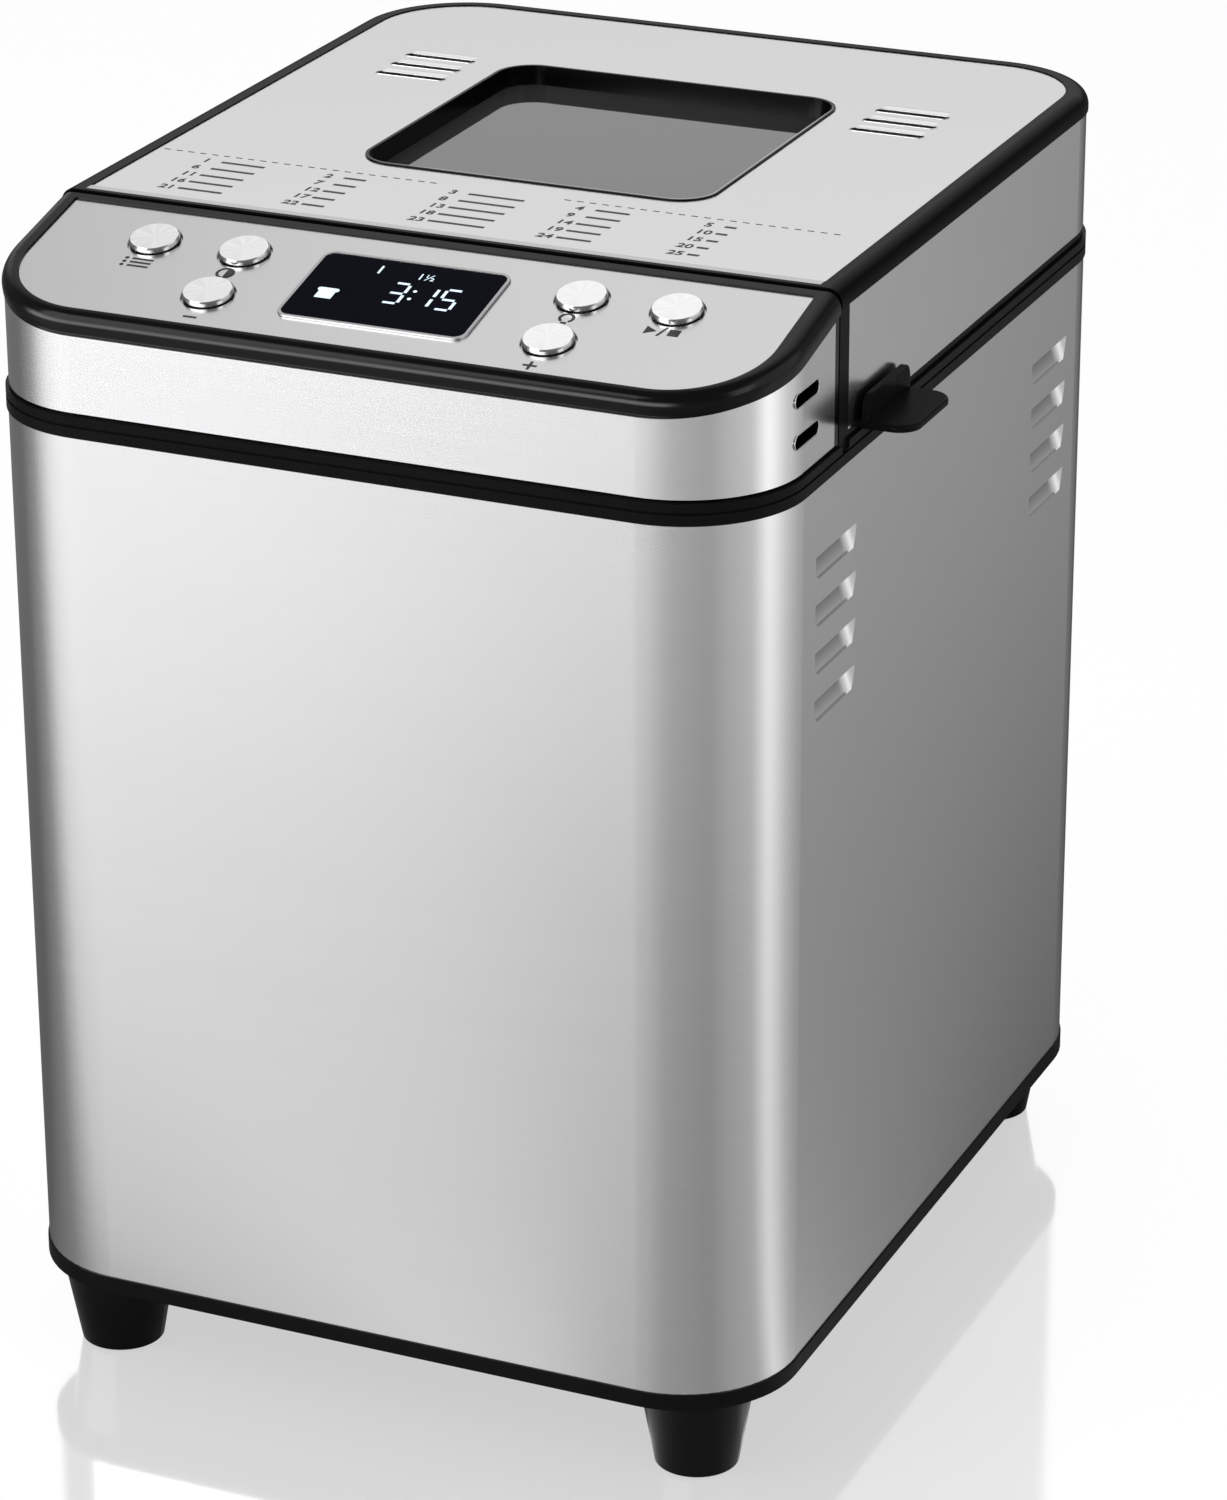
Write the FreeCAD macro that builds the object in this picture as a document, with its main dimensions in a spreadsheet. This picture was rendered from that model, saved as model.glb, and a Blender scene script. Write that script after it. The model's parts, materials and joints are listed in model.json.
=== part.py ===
import FreeCAD
import Part
import Sketcher
import math
import os

# Bread machine, in millimetres. The origin is on the worktop under the middle of the case.
# X runs to the right, Y to the back and Z up, so the console faces -Y.

SIZES = (
    ("case_width", 220, "steel of the console and the lid, side to side"),
    ("case_depth", 268.4, "steel of the console and the lid, front to back"),
    ("case_corner", 31.6, "radius of the upright corners in plan"),
    ("fit_gap", 0.3, "between a moulding and the sheet round it"),
    ("sheet_gap", 0.1, "between two pieces that are fixed together"),
    ("press_gap", 0.02, "round a shaft or pin that is pressed in"),
    ("running_gap", 0.05, "round a shaft or pin that turns"),
    ("foot_height", 25.4, "worktop to the underside of the base"),
    ("foot_low_radius", 11.4, "foot at the worktop"),
    ("foot_top_radius", 15.8, "foot under the base"),
    ("foot_side", 86.8, "middle of the case to a foot, sideways"),
    ("foot_front", 113.5, "middle of the case to a foot, lengthways"),
    ("foot_well_top", 17, "height of the screw seat inside a foot"),
    ("foot_well_radius", 5, "screw well inside a foot"),
    ("pad_radius", 9, "rubber pad under a foot"),
    ("pad_thickness", 2.4, "rubber pad under a foot"),
    ("pad_step", 0.8, "how far a pad stands below its foot"),
    ("screw_radius", 1.6, "shank of every screw"),
    ("screw_head_radius", 3.2, "head of every screw"),
    ("screw_head_height", 1.4, "head of every screw"),
    ("screw_grip", 9, "length of thread past the clamped pieces"),
    ("boss_radius", 4.5, "screw boss"),
    ("base_rim", 4.5, "black edge under the steel wrap"),
    ("base_proud", 0.4, "base edge outside the wrap"),
    ("base_floor", 3, "thickness of the base"),
    ("upstand_height", 12, "base wall inside the wrap"),
    ("upstand_wall", 2.4, "thickness of that wall"),
    ("post_height", 31.6, "base floor to the chassis plate"),
    ("wrap_inset", -0.4, "wrap inside the console's steel, or outside it where negative"),
    ("wrap_sheet", 0.6, "thickness of the wrap"),
    ("wrap_height", 243.3, "height of the wrap"),
    ("louvre_length", 29.4, "louvre, end to end"),
    ("louvre_height", 6.3, "louvre, up the wrap"),
    ("louvre_corner", 2.8, "front lower corner of a louvre"),
    ("louvre_scoop", 7, "round of a louvre's rear end"),
    ("louvre_gap", 1.7, "height of the gap at a louvre's upper edge"),
    ("louvre_tilt", 18, "slope of a louvre's floor, in degrees"),
    ("louvre_step", 0.8, "depth of a louvre at its lower edge"),
    ("louvre_back", 1.2, "middle of the case to the middle of both groups"),
    ("louvre_pitch", 13, "one louvre to the next"),
    ("louvre_drop", 22.3, "top of the wrap to the highest louvre"),
    ("louvre_reach", 80.4, "middle of the case to a group of louvres"),
    ("gland_side", 62, "middle of the case to the cord gland"),
    ("gland_bore", 3.8, "bore of the cord gland"),
    ("gland_barrel", 7, "barrel of the cord gland"),
    ("gland_flange", 10.2, "flange of the cord gland"),
    ("gland_clip", 9.2, "clip of the cord gland behind the base"),
    ("gland_lip", 2.5, "thickness of that flange and clip"),
    ("gland_length", 16, "barrel behind the wrap"),
    ("collar_proud", 0.9, "collar outside the console's steel"),
    ("collar_band", 5.8, "height of the black band"),
    ("collar_deck", 3, "thickness of the deck round the oven mouth"),
    ("collar_skirt", 7, "collar wall inside the wrap"),
    ("collar_wall", 2.2, "thickness of that wall"),
    ("groove_depth", 0.5, "line round the collar"),
    ("groove_height", 0.7, "line round the collar"),
    ("groove_drop", 2.2, "top of the collar to that line"),
    ("oven_back", 25.2, "middle of the case to the middle of the oven"),
    ("pan_room_side", 13, "bread pan to the oven wall, sideways"),
    ("pan_room_end", 16, "bread pan to the oven wall, lengthways"),
    ("oven_corner", 22, "corner radius of the oven chamber"),
    ("oven_sheet", 0.8, "thickness of the oven chamber"),
    ("oven_flange", 11, "flange under the deck"),
    ("deck_screw_reach", 48, "middle of the oven to its screws"),
    ("bearing_rise", 15.2, "chassis plate to the oven floor"),
    ("element_radius", 3.2, "tube of the heating element"),
    ("element_rise", 22, "oven floor to the element"),
    ("element_wall_gap", 6.6, "oven wall to the middle of the element"),
    ("element_bend", 10, "bend of the element"),
    ("element_leg", 16, "middle of the oven to an element end"),
    ("element_tail", 12, "element outside the oven wall"),
    ("element_straight", 1, "straight element inside the oven's front wall"),
    ("bushing_radius", 5.4, "ceramic bushing round the element"),
    ("bushing_flange", 7.5, "flange of that bushing"),
    ("bushing_lip", 2, "thickness of that flange"),
    ("sensor_radius", 2.5, "temperature probe"),
    ("sensor_nut", 5, "nut of the temperature probe"),
    ("sensor_nut_length", 6, "nut of the temperature probe"),
    ("sensor_side", 40, "middle of the oven to the probe"),
    ("sensor_rise", 46, "oven floor to the probe"),
    ("sensor_reach", 7, "probe inside the oven"),
    ("fuse_radius", 3, "thermal fuse"),
    ("fuse_length", 22, "thermal fuse"),
    ("fuse_rise", 70, "oven floor to the thermal fuse"),
    ("fuse_clip", 1, "clip of the thermal fuse"),
    ("lamp_radius", 9, "lamp lens in the oven wall"),
    ("lamp_body", 12, "lamp housing outside the oven"),
    ("lamp_length", 20, "lamp housing outside the oven"),
    ("lamp_rise", 118, "oven floor to the lamp"),
    ("lamp_lens", 2, "lens inside the oven wall"),
    ("socket_plate", 3, "pan socket on the oven floor"),
    ("socket_wall", 4.5, "ring of the pan socket"),
    ("socket_height", 8, "ring of the pan socket"),
    ("socket_flange", 6, "flange outside that ring"),
    ("chassis_sheet", 2, "thickness of the chassis plate"),
    ("chassis_left", 56, "chassis plate, left of the middle"),
    ("chassis_right", 74, "chassis plate, right of the middle"),
    ("chassis_front", 122, "chassis plate, in front of the middle"),
    ("chassis_back", 84, "chassis plate, behind the middle"),
    ("chassis_corner", 8, "corner of the chassis plate, and its screws' inset"),
    ("post_radius", 5, "post under the chassis plate"),
    ("motor_side", 38, "middle of the case to the motor"),
    ("motor_front", 93, "middle of the case to the motor"),
    ("motor_radius", 27, "motor can"),
    ("motor_height", 52, "motor can"),
    ("motor_bell_radius", 19, "end bell on the motor"),
    ("motor_bell_height", 6, "end bell on the motor"),
    ("motor_shaft_radius", 3, "motor shaft"),
    ("motor_shaft_seat", 30, "motor shaft inside the motor"),
    ("motor_pulley_radius", 9, "belt seat of the motor pulley"),
    ("drive_pulley_radius", 38, "belt seat of the drive pulley"),
    ("pulley_width", 12, "both pulleys"),
    ("pulley_flange", 2, "flange of a pulley, its height and its thickness"),
    ("pulley_drop", 4, "chassis plate to a pulley"),
    ("pulley_hub_radius", 9, "hub of the drive pulley"),
    ("pulley_web", 4, "web of the drive pulley"),
    ("belt_thickness", 1.6, "drive belt"),
    ("belt_gap", 0.2, "belt to each pulley's seat and flanges"),
    ("shaft_radius", 4, "drive shaft and pan shaft"),
    ("bearing_radius", 9, "drive bearing through the oven floor"),
    ("bearing_flange", 22, "drive bearing on the chassis plate"),
    ("bearing_lip", 4, "thickness of that flange"),
    ("coupler_radius", 13, "drive coupler"),
    ("coupler_disc", 3, "disc of the drive coupler"),
    ("coupler_gap", 1, "coupler above the bearing"),
    ("dog_height", 6, "dogs of the drive coupler"),
    ("dog_length", 6, "dogs of the drive coupler, along the radius"),
    ("dog_width", 5, "dogs of the drive coupler"),
    ("wing_gap", 1, "wing coupling above the coupler's disc"),
    ("wing_height", 4.5, "wing coupling"),
    ("wing_width", 4, "wing coupling"),
    ("wing_hub", 5.6, "hub of the wing coupling"),
    ("capacitor_length", 40, "run capacitor"),
    ("capacitor_width", 22, "run capacitor"),
    ("capacitor_height", 32, "run capacitor"),
    ("board_sheet", 1.6, "both circuit boards"),
    ("power_board_side", 76, "middle of the case to the power board"),
    ("power_board_length", 62, "power board"),
    ("power_board_height", 84, "power board"),
    ("power_board_front", 12.2, "front of the case to the power board"),
    ("rail_height", 10, "rails that hold the power board"),
    ("rail_wall", 2, "rails that hold the power board"),
    ("rail_slot", 5, "power board inside its rails"),
    ("relay_length", 20, "relay on the power board"),
    ("relay_height", 15, "relay on the power board"),
    ("transformer_gap", 4, "relay to the transformer on the power board"),
    ("transformer_length", 26, "transformer, along the board"),
    ("transformer_width", 18, "transformer, out from the board"),
    ("transformer_height", 30, "transformer, up the board"),
    ("can_radius", 6.75, "smoothing capacitor on the power board"),
    ("can_length", 20, "smoothing capacitor, out from the board"),
    ("can_rise", 30, "foot of the relay to the smoothing capacitor"),
    ("console_back", 79.1, "middle of the case to the back of the console"),
    ("console_edge", 2.2, "black wall at the back of the console"),
    ("console_wall", 2.2, "wall behind the console's steel"),
    ("console_slope", 13.5, "slope of the control plate, in degrees"),
    ("console_rise", 39.4, "collar to the control plate's rear edge"),
    ("console_rim", 5, "rim below the control plate"),
    ("console_rim_up", 0.5, "rim above the control plate"),
    ("console_rim_round", 3.9, "round of the rim"),
    ("skin_sheet", 0.8, "steel of the console and the lid"),
    ("seam_gap", 0.8, "collar to the steel of the console"),
    ("vent_length", 15.9, "vent slot in the console's side"),
    ("vent_width", 3.8, "vent slot in the console's side"),
    ("vent_pitch", 10.75, "one vent slot to the next"),
    ("vent_low", 9.1, "console's lower edge to the lower vent slot"),
    ("vent_back", 20.8, "back of the console to the vent slots"),
    ("plate_sheet", 0.7, "control plate and lid plate"),
    ("plate_length", 50.7, "control plate, up the slope"),
    ("plate_inset", 5.6, "case side to the control plate"),
    ("plate_corner", 25, "front corners of the control plate"),
    ("plate_ledge", 3, "ledge under a plate"),
    ("button_radius", 6.7, "button cap"),
    ("button_gap", 0.6, "round a button"),
    ("button_rise", 1.6, "button above the control plate"),
    ("button_chamfer", 0.4, "edge of a button"),
    ("button_skirt", 3.2, "button below the control plate"),
    ("button_flange", 1.1, "flange that keeps a button in"),
    ("button_stem", 2, "stem over a switch"),
    ("button_travel", 1.2, "press of a button"),
    ("button_outer", 73.4, "middle to the outer buttons"),
    ("button_inner", 47.4, "middle to the inner buttons"),
    ("button_high", 14.8, "rear edge of the plate to the upper buttons"),
    ("button_low", 35.9, "rear edge of the plate to the lower buttons"),
    ("display_length", 50.9, "display lens, side to side"),
    ("display_width", 30.5, "display lens, up the slope"),
    ("display_corner", 2.6, "corner of the display lens"),
    ("display_back", 25.05, "rear edge of the plate to the middle of the display"),
    ("display_sheet", 1.9, "thickness of the display lens"),
    ("display_rise", 0.4, "display lens above the plate"),
    ("bezel_wall", 0.9, "bright edge round the display"),
    ("bezel_rise", 0.6, "bright edge above the plate"),
    ("bezel_flange", 3, "bezel under the plate"),
    ("bezel_lip", 1.4, "thickness of that flange"),
    ("lcd_border", 2.5, "display lens beyond the display module"),
    ("control_board_drop", 13, "control plate to the control board"),
    ("control_board_side", 6.5, "console wall to the control board"),
    ("control_board_front", 40, "rear edge of the plate to the board's front"),
    ("control_board_back", 5, "rear edge of the plate to the board's back"),
    ("board_post", 3.5, "post over the control board"),
    ("board_post_back", 10, "rear edge of the plate to the rear posts"),
    ("board_post_front", 28, "rear edge of the plate to the front posts"),
    ("switch_size", 6, "tact switch"),
    ("switch_height", 4, "tact switch"),
    ("switch_plunger", 0.5, "plunger of a tact switch"),
    ("lid_gap", 0.6, "collar to the lid"),
    ("lid_seam", 0.9, "console to the lid"),
    ("lid_height", 40.3, "whole lid"),
    ("lid_wall", 2.5, "wall behind the lid's steel"),
    ("lid_front_wall", 5, "black wall at the front of the lid"),
    ("lid_edge", 6.2, "black edge in front of the lid's steel"),
    ("lid_trim", 1.6, "black edge under the lid's steel"),
    ("tongue_width", 5, "tongue at a front corner of the lid"),
    ("tongue_depth", 2.2, "tongue, sideways"),
    ("tongue_drop", 3.2, "tongue below the lid"),
    ("rim_height", 4.9, "rim round the lid plate"),
    ("rim_proud", 0.5, "rims outside the steel"),
    ("rim_round", 4, "round of the lid's rim"),
    ("rim_up", 0.3, "rim above the lid plate"),
    ("rim_side", 6, "case side to the lid plate"),
    ("rim_front", 4.55, "lid front to the lid plate"),
    ("hinge_reach", 5, "hinge axis to the back of the lid"),
    ("hinge_side", 54, "middle of the case to a hinge"),
    ("hinge_ear", 8, "width of a hinge ear"),
    ("hinge_radius", 4, "round of a hinge ear and of its knuckles"),
    ("hinge_gap", 0.6, "round a hinge ear"),
    ("knuckle", 9, "width of a hinge knuckle"),
    ("pin_radius", 2, "hinge pin"),
    ("window_width", 102, "window opening, side to side"),
    ("window_depth", 103.2, "window opening, front to back"),
    ("window_corner", 11, "corner of the window opening"),
    ("window_sink", 5, "lid plate to the glass"),
    ("window_draft", 7, "slope of the window's walls, in degrees"),
    ("window_lip", 1, "top edge of the window's walls"),
    ("window_lip_rise", 0.4, "window's edge above the lid plate"),
    ("window_flange", 6, "window bezel under the lid plate"),
    ("window_flange_thickness", 3, "window bezel under the lid plate"),
    ("glass", 3, "both panes"),
    ("glass_border", 5, "inner pane on the liner"),
    ("liner_rise", 3.2, "lid's lower edge to the liner"),
    ("liner_sheet", 1, "lid liner"),
    ("liner_back", 8, "hinge axis to the liner"),
    ("seal_inset", 3, "oven mouth to the seal"),
    ("seal_width", 6, "lid seal"),
    ("lid_vent_length", 21.4, "vent slot in the lid plate"),
    ("lid_vent_width", 3, "vent slot in the lid plate"),
    ("lid_vent_pitch", 9.72, "one lid vent to the next"),
    ("lid_vent_side", 71.6, "middle of the lid to its vents"),
    ("lid_vent_back", 63, "middle of the case to the middle vents"),
    ("lid_screw_front", 66, "middle of the case to the front lid screws"),
    ("lid_screw_back", 92, "middle of the case to the rear lid screws"),
    ("handle_back", 50.2, "middle of the case to the lid handle, forwards"),
    ("handle_length", 30.6, "lid handle"),
    ("handle_reach", 15, "tab of the lid handle"),
    ("handle_tab", 1.8, "thickness of the tab"),
    ("handle_edge", 1, "round of the tab's upper edge"),
    ("handle_corner", 6, "corners of the tab"),
    ("handle_stand", 1.2, "lid's side to the upright plate"),
    ("handle_plate", 1.4, "thickness of the upright plate"),
    ("handle_height", 8.6, "upright plate of the handle"),
    ("handle_dish", 0.8, "hollow in the upright plate"),
    ("handle_slope", 6, "slope at the rear of that hollow, in degrees"),
    ("handle_wall", 0.9, "edge round that hollow"),
    ("handle_round", 4, "corners of the upright plate"),
    ("pan_width", 124, "bread pan, side to side"),
    ("pan_depth", 114, "bread pan, front to back"),
    ("pan_height", 130, "bread pan"),
    ("pan_corner", 18, "corner of the bread pan"),
    ("pan_wall", 1.2, "thickness of the bread pan"),
    ("pan_rim", 3, "rolled rim of the bread pan"),
    ("pan_rim_height", 2, "rolled rim of the bread pan"),
    ("pan_base_radius", 34.6, "ring under the bread pan"),
    ("pan_base_wall", 3.6, "ring under the bread pan"),
    ("pan_base_height", 13, "ring under the bread pan"),
    ("pan_base_plate", 3, "plate inside that ring"),
    ("pan_bush_radius", 8, "bush in the bread pan"),
    ("pan_bush_flange", 11, "flange of that bush"),
    ("pan_bush_rise", 2, "flange of that bush"),
    ("bail_radius", 2, "wire of the bail handle"),
    ("bail_reach", 56, "bail handle, pivot to bar"),
    ("bail_drop", 6, "pan's edge to the bail's pivot"),
    ("bail_rest", 8.6, "slope of the bail at rest, in degrees"),
    ("bail_side_gap", 2.6, "pan's rim to the middle of the wire"),
    ("bail_pin", 1.7, "turned-in end of the bail"),
    ("ear_width", 12, "ear that holds the bail"),
    ("ear_below", 7, "ear below the bail's pivot"),
    ("paddle_hub_radius", 8.5, "hub of the kneading paddle"),
    ("paddle_hub_height", 20, "hub of the kneading paddle"),
    ("paddle_bore", 16, "pan shaft inside the kneading paddle"),
    ("paddle_lift", 0.6, "paddle above the bush"),
    ("paddle_reach", 40, "blade of the kneading paddle"),
    ("paddle_blade", 4, "blade of the kneading paddle"),
    ("paddle_height", 26, "blade of the kneading paddle"),
    ("paddle_lean", 18, "lean of the blade, in degrees"),
)

doc = FreeCAD.newDocument("bread_machine")
sheet = doc.addObject("Spreadsheet::Sheet", "sizes")
for row, (alias, value, meaning) in enumerate(SIZES, start=1):
    sheet.set(f"A{row}", alias)
    sheet.set(f"B{row}", str(value))
    sheet.setAlias(f"B{row}", alias)
    sheet.set(f"C{row}", meaning)
doc.recompute()

AXES = {
    "X": FreeCAD.Rotation(FreeCAD.Vector(0, 1, 0), 90),
    "Y": FreeCAD.Rotation(FreeCAD.Vector(1, 0, 0), -90),
    "Z": FreeCAD.Rotation(),
}
SIDES = (-1, 1)
pieces = {}


class Size:
    """A length of the sheet, or a sum of them, as an expression and as its number."""

    def __init__(self, text, number):
        self.text = text
        self.number = number

    def __add__(self, other):
        other = as_size(other)
        return Size(f"({self.text} + {other.text})", self.number + other.number)

    def __radd__(self, other):
        return as_size(other) + self

    def __sub__(self, other):
        other = as_size(other)
        return Size(f"({self.text} - {other.text})", self.number - other.number)

    def __rsub__(self, other):
        return as_size(other) - self

    def __mul__(self, other):
        other = as_size(other)
        return Size(f"({self.text} * {other.text})", self.number * other.number)

    def __rmul__(self, other):
        return as_size(other) * self

    def __truediv__(self, other):
        other = as_size(other)
        return Size(f"({self.text} / {other.text})", self.number / other.number)

    def __neg__(self):
        return as_size(0) - self


class Sheet:
    """Reads a size of the sheet by its alias."""

    def __getattr__(self, alias):
        return Size(f"sizes.{alias}", float(sheet.get(alias)))


def as_size(value):
    if isinstance(value, Size):
        return value
    return Size(f"({float(value)})", float(value))


def sine(angle):
    return Size(f"sin({angle.text})", math.sin(math.radians(angle.number)))


def cosine(angle):
    return Size(f"cos({angle.text})", math.cos(math.radians(angle.number)))


def bind(item, **values):
    """Ties properties of an object to the sheet."""
    for path, value in values.items():
        item.setExpression(path, as_size(value).text)
    return item


def put(item, x, y, z):
    """Ties an object's place to the sheet."""
    for letter, value in zip("xyz", (x, y, z)):
        item.setExpression(f"Placement.Base.{letter}", as_size(value).text)
    return item


def span(x0, x1, y0, y1, z0, z1):
    """A box between two corners."""
    x0, y0, z0 = as_size(x0), as_size(y0), as_size(z0)
    item = doc.addObject("Part::Box", "Box")
    bind(item, Length=x1 - x0, Width=y1 - y0, Height=z1 - z0)
    return put(item, x0, y0, z0)


def rod(x, y, z, radius, height, axis="Z"):
    """A cylinder that starts at a point and runs along an axis."""
    item = doc.addObject("Part::Cylinder", "Rod")
    item.Placement.Rotation = AXES[axis]
    bind(item, Radius=radius, Height=height)
    return put(item, x, y, z)


def cone(x, y, z, low, top, height):
    item = doc.addObject("Part::Cone", "Cone")
    bind(item, Radius1=low, Radius2=top, Height=height)
    return put(item, x, y, z)


def ball(x, y, z, radius):
    item = doc.addObject("Part::Sphere", "Ball")
    bind(item, Radius=radius)
    return put(item, x, y, z)


def plane_of(body, role):
    """A body's own origin plane."""
    return next(item for item in body.Origin.OriginFeatures if item.Role == role)


def constrain(sketch, kind, *where):
    """Adds a constraint; a Size at its end is tied to the sheet."""
    value = where[-1]
    if isinstance(value, Size):
        number = sketch.addConstraint(Sketcher.Constraint(kind, *where[:-1], value.number))
        sketch.setExpression(f"Constraints[{number}]", value.text)
    else:
        sketch.addConstraint(Sketcher.Constraint(kind, *where))


def new_sketch(body, role, name):
    sketch = body.newObject("Sketcher::SketchObject", name)
    sketch.AttachmentSupport = (plane_of(body, role), [""])
    sketch.MapMode = "FlatFace"
    return sketch


def draw_rounded_rectangle(sketch, half_x, half_y, corner):
    """A rounded rectangle about the sketch's origin: four lines, then four arcs."""
    hx, hy, r = half_x.number, half_y.number, corner.number
    ends = (
        ((r - hx, -hy), (hx - r, -hy)),
        ((hx, r - hy), (hx, hy - r)),
        ((hx - r, hy), (r - hx, hy)),
        ((-hx, hy - r), (-hx, r - hy)),
    )
    centres = ((hx - r, r - hy), (hx - r, hy - r), (r - hx, hy - r), (r - hx, r - hy))
    up = FreeCAD.Vector(0, 0, 1)
    for start, end in ends:
        sketch.addGeometry(Part.LineSegment(FreeCAD.Vector(*start), FreeCAD.Vector(*end)))
    for turn, centre in enumerate(centres):
        circle = Part.Circle(FreeCAD.Vector(*centre), up, r)
        begin = (turn - 1) * math.pi / 2
        sketch.addGeometry(Part.ArcOfCircle(circle, begin, begin + math.pi / 2))
    for side in range(4):
        constrain(sketch, "Tangent", side, 2, 4 + side, 1)
        constrain(sketch, "Tangent", 4 + side, 2, (side + 1) % 4, 1)
        constrain(sketch, "Vertical" if side % 2 else "Horizontal", side)
        if side:
            constrain(sketch, "Equal", 4, 4 + side)
    constrain(sketch, "Radius", 4, corner)
    constrain(sketch, "DistanceY", 0, 1, -1, 1, half_y)
    constrain(sketch, "DistanceX", -1, 1, 1, 1, half_x)
    constrain(sketch, "DistanceY", -1, 1, 2, 1, half_y)
    constrain(sketch, "DistanceX", 3, 1, -1, 1, half_x)


def slab(length, width, corner, low, high, x=0, y=0, draft=None, rounding=None):
    """An upright rounded block; draft widens it upwards, rounding eases its top edge."""
    low = as_size(low)
    body = doc.addObject("PartDesign::Body", "Slab")
    sketch = new_sketch(body, "XY_Plane", "Outline")
    draw_rounded_rectangle(sketch, length / 2, width / 2, as_size(corner))
    pad = body.newObject("PartDesign::Pad", "Pad")
    pad.Profile = sketch
    bind(pad, Length=high - low)
    if draft is not None:
        bind(pad, TaperAngle=draft)
    if rounding is not None:
        doc.recompute()
        top = pad.Shape.BoundBox.ZMax
        edges = [
            f"Edge{number}"
            for number, edge in enumerate(pad.Shape.Edges, start=1)
            if edge.BoundBox.ZMin > top - 1e-6
        ]
        fillet = body.newObject("PartDesign::Fillet", "Rounding")
        fillet.Base = (pad, edges)
        bind(fillet, Radius=rounding)
    return put(body, x, y, low)


def cut(base, *tools):
    item = doc.addObject("Part::Cut", "Cut")
    item.Base = base
    item.Tool = tools[0] if len(tools) == 1 else group(*tools)
    return item


def fuse(*parts):
    item = doc.addObject("Part::MultiFuse", "Fuse")
    item.Shapes = list(parts)
    return item


def common(first, second):
    item = doc.addObject("Part::Common", "Common")
    item.Base = first
    item.Tool = second
    return item


def group(*parts):
    """Several solids as one object."""
    item = doc.addObject("Part::Compound", "Group")
    item.Links = list(parts)
    return item


def piece(label, item):
    """Names a finished piece of the machine."""
    item.Label = label
    pieces[label] = item
    return item


s = Sheet()

# Levels and outlines that several pieces share
half_width = s.case_width / 2
half_depth = s.case_depth / 2
z_base = s.foot_height
z_base_floor = z_base + s.base_floor
z_wrap = z_base + s.base_rim
z_gland = z_wrap + s.gland_flange + s.fit_gap
z_band = z_wrap + s.wrap_height
z_collar = z_band + s.collar_band
z_deck = z_collar - s.collar_deck
z_chassis_low = z_base_floor + s.post_height
z_chassis = z_chassis_low + s.chassis_sheet
z_oven_low = z_chassis + s.bearing_rise
z_oven = z_oven_low + s.oven_sheet
z_socket = z_oven + s.socket_plate
z_coupler = z_socket + s.coupler_gap
z_dogs = z_coupler + s.coupler_disc
z_wings = z_dogs + s.wing_gap
z_pan = z_socket + s.pan_base_height
z_pan_floor = z_pan + s.pan_wall
z_pan_top = z_pan + s.pan_height
z_pulley_top = z_chassis_low - s.pulley_drop
z_pulley = z_pulley_top - s.pulley_width
z_crest = z_collar + s.console_rise
z_lid = z_collar + s.lid_gap
z_lid_top = z_lid + s.lid_height
z_rim = z_lid_top - s.rim_height
z_liner = z_lid + s.liner_rise
z_liner_top = z_liner + s.liner_sheet
z_hinge = z_lid + s.hinge_reach
y_hinge = half_depth - s.hinge_reach
y_console = -s.console_back
y_lid = y_console + s.lid_seam
y_board = s.power_board_front - half_depth
oven_width = s.pan_width + s.pan_room_side * 2
oven_depth = s.pan_depth + s.pan_room_end * 2
y_oven_front = s.oven_back - oven_depth / 2
lining_inset = s.wrap_inset + s.wrap_sheet + s.fit_gap
FAR = s.case_depth * 2


def outline(inset, low, high, rounding=None):
    """The case's plan, drawn in by an inset, between two levels."""
    length = s.case_width - inset * 2
    width = s.case_depth - inset * 2
    return slab(length, width, s.case_corner - inset, low, high, rounding=rounding)


def band(outer, inner, low, high):
    """A hoop of sheet or moulding that follows the case's plan."""
    return cut(outline(outer, low, high), outline(inner, low, high))


def behind(y, low, high):
    """Everything behind an upright plane, between two levels."""
    return span(-FAR, FAR, y, FAR, low, high)


def ahead(y, low, high):
    """Everything in front of an upright plane, between two levels."""
    return span(-FAR, FAR, -FAR, y, low, high)


def tilted(item):
    """Puts a piece drawn on the control plate's plane in its place on the console.

    There X is the machine's X, Y runs up the slope from the plate's rear edge, and Z is the
    height above the plate.
    """
    holder = group(item)
    holder.Placement.Rotation = FreeCAD.Rotation(FreeCAD.Vector(1, 0, 0), s.console_slope.number)
    holder.setExpression("Placement.Rotation.Angle", s.console_slope.text)
    return put(holder, 0, y_console - s.console_edge, z_crest)


def screw(x, y, seat, length, up=True):
    """A pan-head screw whose head rests on a seat, above it or below it."""
    if up:
        head = rod(x, y, seat, s.screw_head_radius, s.screw_head_height)
        shank = rod(x, y, seat - length, s.screw_radius, length)
    else:
        head = rod(x, y, seat - s.screw_head_height, s.screw_head_radius, s.screw_head_height)
        shank = rod(x, y, seat, s.screw_radius, length)
    return fuse(head, shank)


def screw_hole(x, y, low, high):
    return rod(x, y, low, s.screw_radius + s.sheet_gap, high - low)


def foot_places():
    return [(s.foot_side * side, s.foot_front * end) for side in SIDES for end in SIDES]


def chassis_places():
    left = s.chassis_corner - s.chassis_left
    right = s.chassis_right - s.chassis_corner
    front = s.chassis_corner - s.chassis_front
    back = s.chassis_back - s.chassis_corner
    return [(x, y) for x in (left, right) for y in (front, back)]


def deck_screw_places():
    reach = oven_width / 2 + s.oven_flange / 2
    return [
        (reach * side, s.oven_back + s.deck_screw_reach * end) for side in SIDES for end in SIDES
    ]


def gland_notch(low, high):
    """Notch in the back of the base or the wrap, between which the cord gland is held."""
    half = s.gland_barrel + s.sheet_gap
    back = half_depth - s.wrap_inset
    front = half_depth - lining_inset - s.upstand_wall
    return span(-s.gland_side - half, half - s.gland_side, front, back, low, high)


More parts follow.
